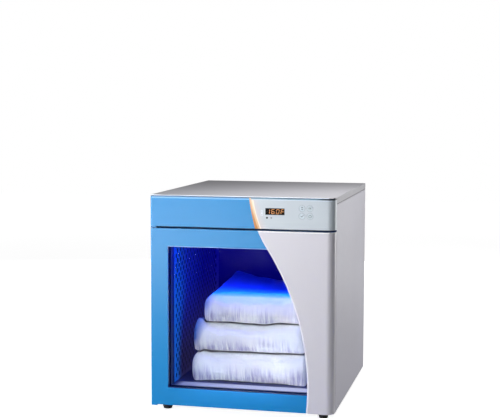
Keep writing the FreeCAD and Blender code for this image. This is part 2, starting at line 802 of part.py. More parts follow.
def make_chamber_light():
    """A lamp strip across the ceiling, just behind the mouth: a channel and its diffuser."""
    half = CHAMBER_HALF - s.light_side_gap
    y = (FRAME_FACE + s.light_setback, FRAME_FACE + s.light_setback + s.light_depth)
    rise = (CEILING - s.light_housing, CEILING)
    step = s.light_diffuser / 2
    keep("light_housing", block("light_housing", (-half, half), y, rise))
    keep("light_diffuser", block("light_diffuser", (-half + step, half - step),
                                 (y[0] + step, y[1] - step), (rise[0] - s.light_diffuser, rise[0])))


def make_sensors():
    """The air probe, screwed through the rear wall, and the limit thermostat on the chamber's roof."""
    z = CEILING - s.probe_drop
    nut = rod("probe_nut", Y_AXIS, s.probe_nut_radius, (s.probe_x, CHAMBER_BACK - s.probe_nut_length, z),
              s.probe_nut_length)
    stem = rod("probe_stem", Y_AXIS, s.probe_radius, (s.probe_x, CHAMBER_BACK - s.probe_length, z),
               s.probe_length + s.liner_gauge)
    keep("temperature_probe", fuse("temperature_probe", [nut, stem]))
    y = FRAME_FACE + s.limit_setback
    cup = rod("limit_cup", Z_AXIS, s.limit_radius, (s.limit_x, y, ROOF), s.limit_height * 0.45)
    cap = rod("limit_cap", Z_AXIS, s.limit_radius * 0.8, (s.limit_x, y, ROOF), s.limit_height * 0.8)
    half = s.limit_tab_gauge / 2
    tabs = []
    for side, x in (("left", s.limit_x - s.limit_tab_spread), ("right", s.limit_x + s.limit_tab_spread)):
        tabs.append(block(f"limit_tab_{side}", (x - half, x + half),
                          (y - s.limit_radius * 0.25, y + s.limit_radius * 0.25),
                          (ROOF, ROOF + s.limit_height * 1.2)))
    keep("high_limit_thermostat", fuse("high_limit_thermostat", [cup, cap] + tabs))


# ---------------------------------------------------------------- folded blankets
def make_blankets():
    """Three folded blankets in a stack, each a flat block with rounded folds."""
    foot = float(DECK_TOP + s.blanket_clearance)
    front = float(FRAME_FACE + s.blanket_setback)
    for level in ("lower", "middle", "upper"):
        left = float(CHAMBER_HALF - getattr(s, f"{level}_left_gap"))
        right = float(CHAMBER_HALF - getattr(s, f"{level}_right_gap"))
        height = float(getattr(s, f"{level}_height"))
        box = Part.makeBox(left + right, float(s.blanket_depth), height, Vector(-left, front, foot))
        name = f"folded_blanket_{level}"
        keep(name, as_feature(name, box.makeFillet(float(s.blanket_round), box.Edges)))
        foot += height + float(s.blanket_clearance)


# ---------------------------------------------------------------- door
SWEEP_JOIN = DOOR_TOP - BASE - s.sweep_join_drop


def sweep_edge(z):
    """x of the cover's edge at a height above the casing's underside."""
    upright_x = float(HALF_WIDTH - s.sweep_inset)
    upright_z = float(s.sweep_edge_z)
    lower = float(s.sweep_lower_radius)
    upper = float(s.sweep_upper_radius)
    join = float(SWEEP_JOIN)
    lean = (join - upright_z) / lower
    square = math.sqrt(1 - lean * lean)
    if z < join:
        return upright_x - lower + math.sqrt(lower ** 2 - (z - upright_z) ** 2)
    centre_x = upright_x - lower * (1 - square) + upper * square
    centre_z = join + upper * lean
    return centre_x - math.sqrt(upper ** 2 - (z - centre_z) ** 2)


def sweep_prism(section, foot, top):
    """A solid with the same cross-section at every height. The section is a closed polygon of
    (distance right of the cover's edge, y) points, so each upright edge follows the cover's edge."""
    base = float(BASE)
    low = float(foot) - base
    high = float(top) - base
    join = float(SWEEP_JOIN)
    halves = []
    for span in ((low, join), (join, high)):
        heights = (span[0], sum(span) / 2, span[1])
        rails = [arc_through(*[(sweep_edge(z) + shift, y, base + z) for z in heights])
                 for shift, y in section]
        faces = [Part.makeRuledSurface(rail, after) for rail, after in zip(rails, rails[1:] + rails[:1])]
        for z in span:
            corners = [Vector(sweep_edge(z) + shift, float(y), base + z) for shift, y in section]
            faces.append(Part.Face(Part.makePolygon(corners + corners[:1])))
        shell = Part.makeShell(faces)
        shell.sewShape()
        half = Part.makeSolid(shell)
        if half.Volume < 0:
            half.reverse()
        halves.append(half)
    return halves[0].fuse(halves[1])


def door_prism(inset, foot, top, back):
    """The door's outline without its cover. The right side is one cover thickness further in."""
    cover = float(s.cover_thickness)
    round_right = max(float(s.corner_radius) - cover - inset, 0.2)
    round_left = max(float(s.left_corner_radius) - inset, 0.2)
    return rounded_prism(float(-HALF_WIDTH) + inset, float(HALF_WIDTH) - cover - inset,
                         float(DOOR_FACE) + inset, float(back), round_left, round_right, foot, top)


def make_door_shell():
    """A folded steel pan, open at the back, with the window, the pivot holes and the pull's slot."""
    gauge = float(s.sheet_gauge)
    shell = door_prism(0, DOOR_FOOT, DOOR_TOP, DOOR_BACK)
    window = solid_box((-WINDOW_HALF, WINDOW_HALF), (DOOR_FACE - 1, DOOR_BACK + 1),
                       (WINDOW_FOOT, WINDOW_TOP))
    shell = shell.cut(door_prism(gauge, DOOR_FOOT + gauge, DOOR_TOP - gauge, DOOR_BACK + 1)).cut(window)
    front = float(DOOR_FACE)
    inside_window = float(WINDOW_HALF) + 0.1

    def on_window_rim(middle):
        return (abs(middle.y - front) < 1e-3 and abs(middle.x) < inside_window
                and float(WINDOW_FOOT) - 0.1 < middle.z < float(WINDOW_TOP) + 0.1)

    rim = edges_where(shell, on_window_rim)
    shell = shell.makeFillet(min(float(s.window_edge_radius), gauge * 0.9), rim)
    for z in (DOOR_FOOT - 1, DOOR_TOP - gauge - 1):
        at = Vector(float(PIVOT_X), float(PIVOT_Y), float(z))
        shell = shell.cut(Part.makeCylinder(float(s.bush_radius), gauge + 2, at, Z_AXIS))
    x, y = pull_limits()
    shell = shell.cut(solid_box(x, y, (DOOR_FOOT - 1, DOOR_FOOT + gauge + 1)))
    keep("door_shell", as_feature("door_shell", shell))


def make_door_cover():
    """The pale front cover: it follows the door's face round the right corner to its side, and its
    free edge is a long double curve with a bevel."""
    right = float(HALF_WIDTH)
    outer = rounded_prism(-right, right, float(COVER_FACE), float(DOOR_BACK), 1,
                          float(s.corner_radius), DOOR_FOOT, DOOR_TOP)
    band = outer.cut(door_prism(0, DOOR_FOOT - 1, DOOR_TOP + 1, DOOR_BACK + 1))
    front = float(COVER_FACE) - 1
    back = float(DOOR_BACK) + 1
    left = -float(s.body_width)
    low = DOOR_FOOT - 5
    high = DOOR_TOP + 5
    beyond = sweep_prism([(left, front), (0, front), (0, back), (left, back)], low, high)
    face = float(COVER_FACE)
    width = float(s.cover_bevel_width)
    depth = float(s.cover_bevel_depth)
    bevel = sweep_prism([(-width, face - depth), (2 * width, face - depth), (-width, face + 2 * depth)],
                        low, high)
    keep("door_cover", as_feature("door_cover", band.cut(beyond).cut(bevel).removeSplitter()))


def make_window():
    """The glazing, front to back: a bezel behind the door's sheet, a pane, a spacer, a second pane."""
    gauge = s.sheet_gauge
    lap = s.glass_lap
    half = WINDOW_HALF
    foot = WINDOW_FOOT
    top = WINDOW_TOP
    tube_y = (DOOR_FACE + gauge, OUTER_GLASS_FACE)
    outside = block("bezel_outside", (-half - lap, half + lap), tube_y, (foot - lap, top + lap))
    inside = block("bezel_inside", (-half, half), (tube_y[0] - 1, tube_y[1] + 1), (foot, top))
    keep("window_bezel", cut("window_bezel", outside, [inside]))
    glass_half = half + lap
    for name, face in (("outer_glass", OUTER_GLASS_FACE), ("inner_glass", INNER_GLASS_FACE)):
        keep(name, plate(name, "XZ_Plane", (-glass_half, face, foot - lap), glass_half * 2,
                         top - foot + lap * 2, s.glass_thickness))
    keep("glass_spacer", upright_frame("glass_spacer", glass_half, foot - lap, top + lap,
                                       OUTER_GLASS_BACK, INNER_GLASS_FACE, s.spacer_width))


def make_door_liner():
    """The door's inner panel, which holds the glazing in from behind."""
    gauge = s.sheet_gauge
    left = -HALF_WIDTH + gauge
    right = HALF_WIDTH - s.cover_thickness - gauge
    foot = DOOR_FOOT + gauge
    top = DOOR_TOP - gauge
    face = DOOR_BACK - s.door_liner_gauge
    lap = s.glass_lap - s.door_liner_lap
    opening = ((-WINDOW_HALF - lap - left, WINDOW_HALF + lap - left),
               (WINDOW_FOOT - lap - foot, WINDOW_TOP + lap - foot))
    keep("door_liner", plate("door_liner", "XZ_Plane", (left, face, foot), right - left, top - foot,
                             s.door_liner_gauge, [opening]))


def make_gasket():
    """A flat silicone ring on the door's inner panel, just clear of the front frame."""
    half = WINDOW_HALF + s.gasket_lap + s.gasket_width
    outset = s.gasket_lap + s.gasket_width
    keep("door_gasket", upright_frame("door_gasket", half, WINDOW_FOOT - outset, WINDOW_TOP + outset,
                                      DOOR_BACK, FRAME_FACE - s.gasket_clearance, s.gasket_width))


def pull_limits():
    middle = (DOOR_FACE + DOOR_BACK) / 2
    centre = HALF_WIDTH - s.pull_inset
    x = (centre - s.pull_width / 2, centre + s.pull_width / 2)
    return x, (middle - s.pull_depth / 2, middle + s.pull_depth / 2)


def make_finger_pull():
    """A moulded cup let into the door's lower edge, open downwards."""
    x, y = pull_limits()
    wall = s.pull_wall
    z = (DOOR_FOOT, DOOR_FOOT + s.pull_height)
    outside = block("pull_outside", x, y, z)
    inside = block("pull_inside", (x[0] + wall, x[1] - wall), (y[0] + wall, y[1] - wall),
                   (z[0] - 1, z[1] - wall))
    keep("finger_pull", cut("finger_pull", outside, [inside]))


def make_catch():
    """A magnet on the back of the door's inner panel, near the free edge; it holds on the frame."""
    right = HALF_WIDTH - s.cover_thickness - s.sheet_gauge * 2
    middle = (DOOR_FOOT + DOOR_TOP) / 2
    back = DOOR_BACK - s.door_liner_gauge
    keep("catch_magnet", block("catch_magnet", (right - s.magnet_width, right),
                               (back - s.magnet_thickness, back),
                               (middle - s.magnet_height / 2, middle + s.magnet_height / 2)))


def make_pivots():
    """Brackets and pins on the casing, and plain flanged bushes in the door's edges."""
    x = (-HALF_WIDTH, -HALF_WIDTH + s.bracket_width)
    y = (DOOR_FACE + s.left_corner_radius, FRAME_FACE + s.bracket_reach)
    ranges = {"upper": (BRACKET_FOOT, TRAY_FOOT), "lower": (BASE - s.lower_bracket_thickness, BASE)}
    screws = []
    for level, z in ranges.items():
        name = f"hinge_bracket_{level}"
        bar = block(f"{name}_bar", x, y, z)
        drill_foot = z[0] - 1
        drill_length = z[1] - z[0] + 2
        tools = [rod(f"{name}_bore", Z_AXIS, s.pin_radius, (PIVOT_X, PIVOT_Y, drill_foot), drill_length)]
        axis, seat = (Z_AXIS, z[0]) if level == "lower" else (-Z_AXIS, TRAY_TOP)
        for k, at in enumerate(BRACKET_SCREWS):
            tools.append(rod(f"{name}_hole_{k}", Z_AXIS, s.screw_hole_radius,
                             (BRACKET_X, at, drill_foot), drill_length))
            screws.append(screw(f"hinge_screw_{level}_{k}", axis, (BRACKET_X, at, seat),
                                z[1] - z[0] + s.sheet_gauge))
        if level == "upper":
            tools.append(block(f"{name}_relief", (-HALF_WIDTH - 1, -FLANGE_HALF),
                               (FRAME_FACE, y[1] + 1), (z[0] - 1, z[1] + 1)))
        keep(name, cut(name, bar, tools))
    upper_pin = rod("hinge_pin_upper", Z_AXIS, s.pin_radius, (PIVOT_X, PIVOT_Y, DOOR_TOP - s.pin_reach),
                    TRAY_FOOT - DOOR_TOP + s.pin_reach)
    lower_foot = BASE - s.lower_bracket_thickness
    lower_pin = rod("hinge_pin_lower", Z_AXIS, s.pin_radius, (PIVOT_X, PIVOT_Y, lower_foot),
                    DOOR_FOOT - lower_foot + s.pin_reach)
    keep("hinge_pins", group("hinge_pins", [upper_pin, lower_pin]))

    bushes = []
    for level, inner, flange in (("upper", DOOR_TOP - s.bush_length, DOOR_TOP),
                                 ("lower", DOOR_FOOT, DOOR_FOOT - s.bush_flange)):
        body = rod(f"bush_{level}_body", Z_AXIS, s.bush_radius, (PIVOT_X, PIVOT_Y, inner), s.bush_length)
        rim = rod(f"bush_{level}_rim", Z_AXIS, s.bush_flange_radius, (PIVOT_X, PIVOT_Y, flange),
                  s.bush_flange)
        bore = rod(f"bush_{level}_bore", Z_AXIS, s.pin_radius + s.bush_clearance,
                   (PIVOT_X, PIVOT_Y, inner - 2), s.bush_length + 4)
        bushes.append(cut(f"bush_{level}", fuse(f"bush_{level}_blank", [body, rim]), [bore]))
    keep("hinge_bushes", group("hinge_bushes", bushes))
    return screws


# ---------------------------------------------------------------- control panel
KEYS = [("key_select", 0, 0), ("key_light", 1, 0), ("key_set", 0, 1), ("key_power", 1, 1)]


def key_centre(column, row):
    return HALF_WIDTH - s.key_inset + s.key_pitch_x * column, TOP - s.key_drop - s.key_pitch_z * row


def led_centres():
    return [(HALF_WIDTH - s.led_inset + s.led_pitch * k, TOP - s.led_drop) for k in range(2)]


def display_limits(border=0):
    half = s.display_width / 2 + border
    centre = HALF_WIDTH - s.display_inset
    middle = TOP - s.display_drop
    rise = s.display_height / 2 + border
    return (centre - half, centre + half), (middle - rise, middle + rise)


def board_limits():
    """The board hangs behind the panel, level with its middle."""
    middle = (FASCIA_FOOT + FASCIA_TOP) / 2
    right = HALF_WIDTH - s.board_inset
    return (right - s.board_width, right), (middle - s.board_height / 2, middle + s.board_height / 2)


def boss_centres():
    x, z = board_limits()
    inset = s.boss_radius + s.boss_edge
    return [(at_x, at_z) for at_x in (x[0] + inset, x[1] - inset) for at_z in (z[0] + inset, z[1] - inset)]


def stripe_side(side, front, back):
    """Everything right of one side of the stripe: an arc whose top, middle and foot are set in from
    the panel's right side."""
    high = float(FASCIA_TOP + s.stripe_overrun)
    low = float(FASCIA_FOOT - s.stripe_overrun)
    middle = (high + low) / 2 + float(s.stripe_middle_rise)
    top_x, middle_x, foot_x = [float(HALF_WIDTH - getattr(s, f"stripe_{side}_{level}"))
                               for level in ("top", "middle", "foot")]
    y = float(front)
    far = float(HALF_WIDTH) + 10
    edges = [
        arc_through((foot_x, y, low), (middle_x, y, middle), (top_x, y, high)),
        line((top_x, y, high), (far, y, high)),
        line((far, y, high), (far, y, low)),
        line((far, y, low), (foot_x, y, low)),
    ]
    return Part.Face(Part.Wire(edges)).extrude(Y_AXIS * (float(back) - y))


def make_fascia():
    """The control panel's housing, and the two skins inlaid in its face: a pale overlay that runs
    round the right corner, and a narrow curved stripe."""
    wall = float(s.fascia_wall)
    skin = float(s.overlay_gauge)
    outer = front_prism(0, FASCIA_FOOT, FASCIA_TOP, FRAME_FACE)
    hollow = front_prism(wall, FASCIA_FOOT + wall, FASCIA_TOP - wall, FRAME_FACE + 1)
    under_skin = front_prism(skin, FASCIA_FOOT - 1, FASCIA_TOP + 1, FRAME_FACE + 1)
    band = outer.cut(under_skin)
    front = DOOR_FACE - 1
    back = FRAME_FACE + 1
    right_of_left = stripe_side("left", front, back)
    right_of_right = stripe_side("right", front, back)
    overlay = band.common(right_of_right)
    stripe = band.common(right_of_left).cut(right_of_right)
    housing = outer.cut(hollow).cut(band.common(right_of_left))

    holes = []
    depth = float(s.board_setback)
    start = float(DOOR_FACE) - 1
    for name, column, row in KEYS:
        x, z = key_centre(column, row)
        at = Vector(float(x), start, float(z))
        holes.append(Part.makeCylinder(float(s.key_radius + s.key_clearance), depth, at, Y_AXIS))
    for x, z in led_centres():
        at = Vector(float(x), start, float(z))
        holes.append(Part.makeCylinder(float(s.led_radius), depth, at, Y_AXIS))
    ledge_x, ledge_z = display_limits(-s.display_ledge)
    holes.append(solid_box(ledge_x, (start, start + depth), ledge_z))
    for hole in holes:
        housing = housing.cut(hole)
        overlay = overlay.cut(hole)
    display_x, display_z = display_limits()
    overlay = overlay.cut(solid_box(display_x, (start, start + depth), display_z))
    board_face = float(DOOR_FACE + s.board_setback)
    for x, z in boss_centres():
        inside = Vector(float(x), float(DOOR_FACE + s.fascia_wall - s.boss_bite), float(z))
        length = board_face - inside.y
        housing = housing.fuse(Part.makeCylinder(float(s.boss_radius), length, inside, Y_AXIS))
    keep("control_fascia", as_feature("control_fascia", housing.removeSplitter()))
    keep("fascia_overlay", as_feature("fascia_overlay", overlay))
    keep("fascia_stripe", as_feature("fascia_stripe", stripe))


def make_display():
    """The clear window in the overlay, and the four-digit lamp module on the board behind it."""
    x, z = display_limits()
    keep("display_window", block("display_window", x, (DOOR_FACE, DOOR_FACE + s.overlay_gauge), z))
    room = s.display_ledge + s.key_clearance
    x, z = display_limits(-room)
    front = DOOR_FACE + s.overlay_gauge
    keep("display_module", block("display_module", x, (front, DOOR_FACE + s.board_setback), z))
    lamps = [rod(f"status_lamp_{k}", Y_AXIS, s.led_radius, (x, DOOR_FACE - s.key_proud / 2, z),
                 s.board_setback + s.key_proud / 2) for k, (x, z) in enumerate(led_centres())]
    keep("status_lamps", group("status_lamps", lamps))


def make_board():
    x, z = board_limits()
    face = DOOR_FACE + s.board_setback
    board = block("board_sheet", x, (face, face + s.board_gauge), z)
    half = s.switch_size / 2
    solids = [board]
    for name, column, row in KEYS:
        key_x, key_z = key_centre(column, row)
        solids.append(block(f"{name}_switch", (key_x - half, key_x + half),
                            (face - s.switch_height, face), (key_z - half, key_z + half)))
    chip_x = HALF_WIDTH - s.display_inset
    chip_z = (z[0] + z[1]) / 2
    chip_half = s.chip_size / 2
    behind = face + s.board_gauge
    solids.append(block("board_chip", (chip_x - chip_half, chip_x + chip_half),
                        (behind, behind + s.chip_height), (chip_z - chip_half, chip_z + chip_half)))
    plug_right = x[1] - s.plug_inset
    plug_foot = z[0] + s.plug_rise
    solids.append(block("board_plug", (plug_right - s.plug_width, plug_right),
                        (behind, behind + s.plug_depth), (plug_foot, plug_foot + s.plug_height)))
    keep("control_board", fuse("control_board", solids))


def make_keys():
    """Four round keys: a cap, a flange that keeps it behind the panel, and a stem to its switch."""
    for name, column, row in KEYS:
        x, z = key_centre(column, row)
        face = DOOR_FACE - s.key_proud
        wall_back = DOOR_FACE + s.fascia_wall + s.key_clearance
        stem_end = DOOR_FACE + s.board_setback - s.switch_height - s.key_travel - s.key_clearance
        cap = rod(f"{name}_cap", Y_AXIS, s.key_radius, (x, face, z), wall_back + s.key_flange - face)
        flange = rod(f"{name}_flange", Y_AXIS, s.key_radius + s.key_flange, (x, wall_back, z),
                     s.key_flange)
        stem = rod(f"{name}_stem", Y_AXIS, s.key_stem_radius, (x, face, z), stem_end - face)
        keep(name, fuse(name, [cap, flange, stem]))


# ---------------------------------------------------------------- electrical compartment
def make_inlet():
    """The mains inlet in the rear panel: a flanged socket with three blades."""
    x = HALF_WIDTH - s.inlet_inset
    z = TOP - s.inlet_drop
    half_x = s.inlet_width / 2
    half_z = s.inlet_height / 2
    flange = block("inlet_flange", (x - half_x - s.inlet_flange, x + half_x + s.inlet_flange),
                   (BODY_BACK, BODY_BACK + s.screw_head_height),
                   (z - half_z - s.inlet_flange / 3, z + half_z + s.inlet_flange / 3))
    body = block("inlet_body", (x - half_x, x + half_x),
                 (BODY_BACK - s.inlet_length, BODY_BACK + s.screw_head_height), (z - half_z, z + half_z))
    wall = s.inlet_wall
    recess = block("inlet_recess", (x - half_x + wall, x + half_x - wall),
                   (BODY_BACK - s.inlet_length + wall * 3, BODY_BACK + s.screw_head_height + 1),
                   (z - half_z + wall, z + half_z - wall))
    shell = cut("inlet_shell", fuse("inlet_blank", [flange, body]), [recess])
    blades = []
    for k, (pitches, steps) in enumerate(((-1, -1), (0, 1), (1, -1))):
        blade_x = x + s.inlet_blade_pitch * pitches
        blade_z = z + s.inlet_blade_step * steps
        blades.append(block(f"inlet_blade_{k}", (blade_x - s.inlet_blade / 2, blade_x + s.inlet_blade / 2),
                            (BODY_BACK - s.inlet_length + wall, BODY_BACK - s.inlet_blade),
                            (blade_z - s.inlet_blade, blade_z + s.inlet_blade)))
    keep("power_inlet", fuse("power_inlet", [shell] + blades))


def make_electrical_parts():
    """On the tray: a transformer for the controls, a relay for the heaters and a terminal block."""
    y = FRAME_FACE + s.transformer_setback
    x = s.transformer_x
    core = block("transformer_core", (x - s.transformer_width / 2, x + s.transformer_width / 2),
                 (y - s.transformer_core / 2, y + s.transformer_core / 2),
                 (TRAY_TOP, TRAY_TOP + s.transformer_height))
    coil = block("transformer_coil", (x - s.transformer_width * 0.3, x + s.transformer_width * 0.3),
                 (y - s.transformer_depth / 2, y + s.transformer_depth / 2),
                 (TRAY_TOP + s.transformer_height * 0.18, TRAY_TOP + s.transformer_height * 0.82))
    keep("transformer", fuse("transformer", [core, coil]))

    x = s.relay_x
    base = block("relay_base", (x - s.relay_width / 2, x + s.relay_width / 2),
                 (y - s.relay_depth / 2, y + s.relay_depth / 2),
                 (TRAY_TOP, TRAY_TOP + s.relay_height * 0.3))
    cover = block("relay_cover", (x - s.relay_width / 2, x + s.relay_width / 2),
                  (y - s.relay_depth * 0.3, y + s.relay_depth * 0.3), (TRAY_TOP, TRAY_TOP + s.relay_height))
    keep("heater_relay", fuse("heater_relay", [base, cover]))

    x = s.terminal_x
    count = int(float(s.terminal_count))
    length = s.terminal_pitch * count
    low = block("terminal_base", (x, x + length), (y - s.terminal_depth / 2, y + s.terminal_depth / 2),
                (TRAY_TOP, TRAY_TOP + s.terminal_height * 0.5))
    ribs = []
    for k in range(count):
        rib_x = x + s.terminal_pitch * k
        ribs.append(block(f"terminal_rib_{k}", (rib_x, rib_x + s.terminal_rib),
                          (y - s.terminal_depth / 2, y + s.terminal_depth / 2),
                          (TRAY_TOP, TRAY_TOP + s.terminal_height)))
    keep("terminal_block", fuse("terminal_block", [low] + ribs))


make_base_pan()
make_side_panels()
make_rear_panel()
make_lid()
make_front_frame()
make_control_tray()
make_liner()
make_perforated_panels()
make_deck()
make_insulation()
make_heating_cables()
make_chamber_light()
make_sensors()
make_blankets()
make_door_shell()
make_door_cover()
make_window()
make_door_liner()
make_gasket()
make_finger_pull()
make_catch()
keep("casing_screws", group("casing_screws", make_feet() + make_rear_screws() + make_pivots()))
make_fascia()
make_display()
make_board()
make_keys()
make_inlet()
make_electrical_parts()

doc.recompute()

for item in doc.Objects:
    if "Invalid" in item.State or "Error" in item.State:
        raise RuntimeError(f"{item.Label} failed to build: {item.State}")
for item in pieces:
    if item.Shape.isNull() or not item.Shape.isValid() or not item.Shape.Solids:
        raise RuntimeError(f"{item.Label} has no valid solid")
    item.Shape.exportStep(f"parts/{item.Label}.step")
print(len(pieces), "sub-parts written")
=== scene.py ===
import json
import math

import bmesh
import bpy
import numpy as np
from mathutils import Matrix, Vector


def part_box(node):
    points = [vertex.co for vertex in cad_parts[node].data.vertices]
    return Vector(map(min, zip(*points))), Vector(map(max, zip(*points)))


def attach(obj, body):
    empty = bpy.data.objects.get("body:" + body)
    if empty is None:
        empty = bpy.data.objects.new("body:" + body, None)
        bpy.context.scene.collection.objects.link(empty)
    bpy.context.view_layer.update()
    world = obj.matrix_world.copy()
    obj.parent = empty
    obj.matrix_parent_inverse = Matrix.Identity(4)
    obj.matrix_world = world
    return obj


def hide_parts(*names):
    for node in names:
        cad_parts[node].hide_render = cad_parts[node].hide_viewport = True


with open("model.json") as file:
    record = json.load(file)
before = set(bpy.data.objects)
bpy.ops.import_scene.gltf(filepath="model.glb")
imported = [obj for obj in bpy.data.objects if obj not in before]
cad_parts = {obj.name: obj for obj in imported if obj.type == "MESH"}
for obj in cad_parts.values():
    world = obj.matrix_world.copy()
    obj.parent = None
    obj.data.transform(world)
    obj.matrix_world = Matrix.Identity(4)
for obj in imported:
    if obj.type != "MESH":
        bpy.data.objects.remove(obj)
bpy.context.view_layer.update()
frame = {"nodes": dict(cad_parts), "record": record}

X, Y, Z = 0, 1, 2
MM = 0.001


# ---- shader maths
def feed(tree, slot, value):
    """Gives a socket its link or its constant."""
    if isinstance(value, Signal):
        tree.links.new(value.socket, slot)
    elif isinstance(value, (tuple, list)) and len(value) == 3 and slot.type == "RGBA":
        slot.default_value = (*value, 1)
    else:
        slot.default_value = value


def applies(operation):
    """A method of a signal that adds one Math node."""
    return lambda self, *others: self.math(operation, self, *others)


class Signal:
    """A shader socket. Arithmetic on it adds Math nodes to its tree."""

    def __init__(self, tree, socket):
        self.tree = tree
        self.socket = socket

    def math(self, operation, *values):
        node = self.tree.nodes.new("ShaderNodeMath")
        node.operation = operation
        for slot, value in zip(node.inputs, values):
            feed(self.tree, slot, value)
        return Signal(self.tree, node.outputs[0])

    __add__ = __radd__ = applies("ADD")
    __sub__ = applies("SUBTRACT")
    __mul__ = __rmul__ = applies("MULTIPLY")
    __truediv__ = applies("DIVIDE")
    __pow__ = applies("POWER")
    abs = applies("ABSOLUTE")
    sine = applies("SINE")
    least = applies("MINIMUM")
    most = applies("MAXIMUM")

    def __rsub__(self, other):
        return self.math("SUBTRACT", other, self)

    def ramp(self, low, high):
        """0 below low, 1 above high, smooth between them. Low may be the larger."""
        node = self.tree.nodes.new("ShaderNodeMapRange")
        node.interpolation_type = "SMOOTHSTEP"
        for slot, value in zip(node.inputs, (self, low, high)):
            feed(self.tree, slot, value)
        return Signal(self.tree, node.outputs[0])


class Finish:
    """A material on one Principled shader. Its patterns read the piece's own coordinates."""

    def __init__(self, name, colour, roughness, specular=0.5, **constants):
        self.name = name
        self.material = bpy.data.materials.new(name)
        self.material.use_nodes = True
        self.tree = self.material.node_tree
        self.shader = self.tree.nodes["Principled BSDF"]
        self.place = self.node("ShaderNodeTexCoord", output="Object")
        self.tint(colour)
        self.set("Roughness", roughness)
        self.set("Specular IOR Level", specular)
        for socket, value in constants.items():
            self.set(socket.replace("_", " ").title(), value)

    def set(self, socket, value):
        feed(self.tree, self.shader.inputs[socket], value)

    def tint(self, colour):
        self.set("Base Color", colour)

    def node(self, kind, inputs=None, settings=None, output=0):
        """Any node but a Math node, with the values or links of its sockets."""
        node = self.tree.nodes.new(kind)
        for setting, value in (settings or {}).items():
            setattr(node, setting, value)
        for slot, value in (inputs or {}).items():
            feed(self.tree, node.inputs[slot], value)
        return Signal(self.tree, node.outputs[output])

    def axes(self):
        """The three object coordinates, in metres."""
        split = self.node("ShaderNodeSeparateXYZ", {0: self.place}).socket.node
        return [Signal(self.tree, out) for out in split.outputs]

    def noise(self, scale, stretch=None, detail=2.0, distortion=0.0):
        """Noise of scale waves a metre, 0 to 1; stretch multiplies the scale along each axis."""
        place = self.place
        if stretch:
            place = self.node("ShaderNodeVectorMath", {0: place, 1: stretch}, {"operation": "MULTIPLY"})
        return self.node("ShaderNodeTexNoise", {"Vector": place, "Scale": scale, "Detail": detail,
                                                "Distortion": distortion})

    def blend(self, factor, low, high):
        """A colour between two."""
        mix = self.node("ShaderNodeMix", {0: factor, 6: low, 7: high}, {"data_type": "RGBA"})
        return Signal(self.tree, mix.socket.node.outputs[2])

    def clouded(self, colour, mottle, scale=5):
        """The colour, lighter and darker by a share in soft clouds."""
        return self.blend(self.noise(scale, detail=3), shade(colour, 1 - mottle), shade(colour, 1 + mottle))

    def uneven(self, roughness, scale, swing):
        """A roughness that wanders by a swing over the surface."""
        self.set("Roughness", (self.noise(scale) - 0.5) * swing + roughness)

    def bump(self, height, distance):
        """Raises the surface by height times distance, in metres."""
        self.set("Normal", self.node("ShaderNodeBump", {"Height": height, "Distance": distance}))

    def glow(self, colour, strength=1.0):
        self.set("Emission Color", colour)
        self.set("Emission Strength", strength)


def shade(colour, factor):
    return tuple(min(1.0, part * factor) for part in colour)


# ---- finishes
def painted(name, colour, roughness, peel, mottle=0.03, **constants):
    """Paint or powder coat: slightly uneven in tone and sheen, with an orange-peel skin."""
    coat = Finish(name, colour, roughness, **constants)
    coat.tone = coat.clouded(colour, mottle)
    coat.tint(coat.tone)
    coat.uneven(roughness, 70, 0.12)
    coat.bump(coat.noise(420, detail=3) + coat.noise(1600) * 0.4, peel)
    return coat


def enamelled(name, colour, roughness):
    """Smooth enamel of the chamber's walls."""
    enamel = Finish(name, colour, roughness, specular=0.2)
    enamel.uneven(roughness, 60, 0.1)
    enamel.bump(enamel.noise(380, detail=3), 0.00001)
    return enamel


def printed(name, colour):
    """Printed film with a faint grain."""
    film = Finish(name, colour, 0.36, specular=0.25)
    film.uneven(0.36, 240, 0.08)
    film.bump(film.noise(1900, detail=2), 0.000006)
    return film


def moulded(name, colour, roughness, grain=0.00001, scale=900, **constants):
    """Plastic or rubber with a fine moulded grain."""
    skin = Finish(name, colour, roughness, **constants)
    skin.tint(skin.clouded(colour, 0.07, 30))
    skin.uneven(roughness, 160, 0.14)
    cells = skin.node("ShaderNodeTexVoronoi", {"Vector": skin.place, "Scale": scale}, output="Distance")
    skin.bump(cells + skin.noise(scale * 2) * 0.5, grain)
    return skin


def brushed(name, colour, roughness, along, scratch=0.00002):
    """Sheet or turned metal with fine lines along one axis."""
    metal = Finish(name, colour, roughness, metallic=1.0)
    stretch = [1.0, 1.0, 1.0]
    stretch[along] = 0.02
    lines = metal.noise(1500, stretch=tuple(stretch), detail=2)
    stain = metal.noise(14, detail=3)
    metal.tint(metal.blend(stain, shade(colour, 0.9), shade(colour, 1.08)))
    metal.set("Roughness", (lines - 0.5) * 0.22 + stain * 0.06 + roughness)
    metal.bump(lines, scratch)
    return metal


def cast(name, colour, roughness, metallic=0.0):
    """A rough sintered or varnished solid."""
    lump = Finish(name, colour, roughness, metallic=metallic)
    pits = lump.noise(600, detail=5)
    lump.tint(lump.blend(pits, shade(colour, 0.75), shade(colour, 1.2)))
    lump.set("Roughness", (pits - 0.5) * 0.3 + roughness)
    lump.bump(pits, 0.00012)
    return lump


BLUE = (0.001, 0.235, 0.57)
GREY = (0.50, 0.49, 0.57)
NO_LIGHT = (0.0, 0.0, 0.0)
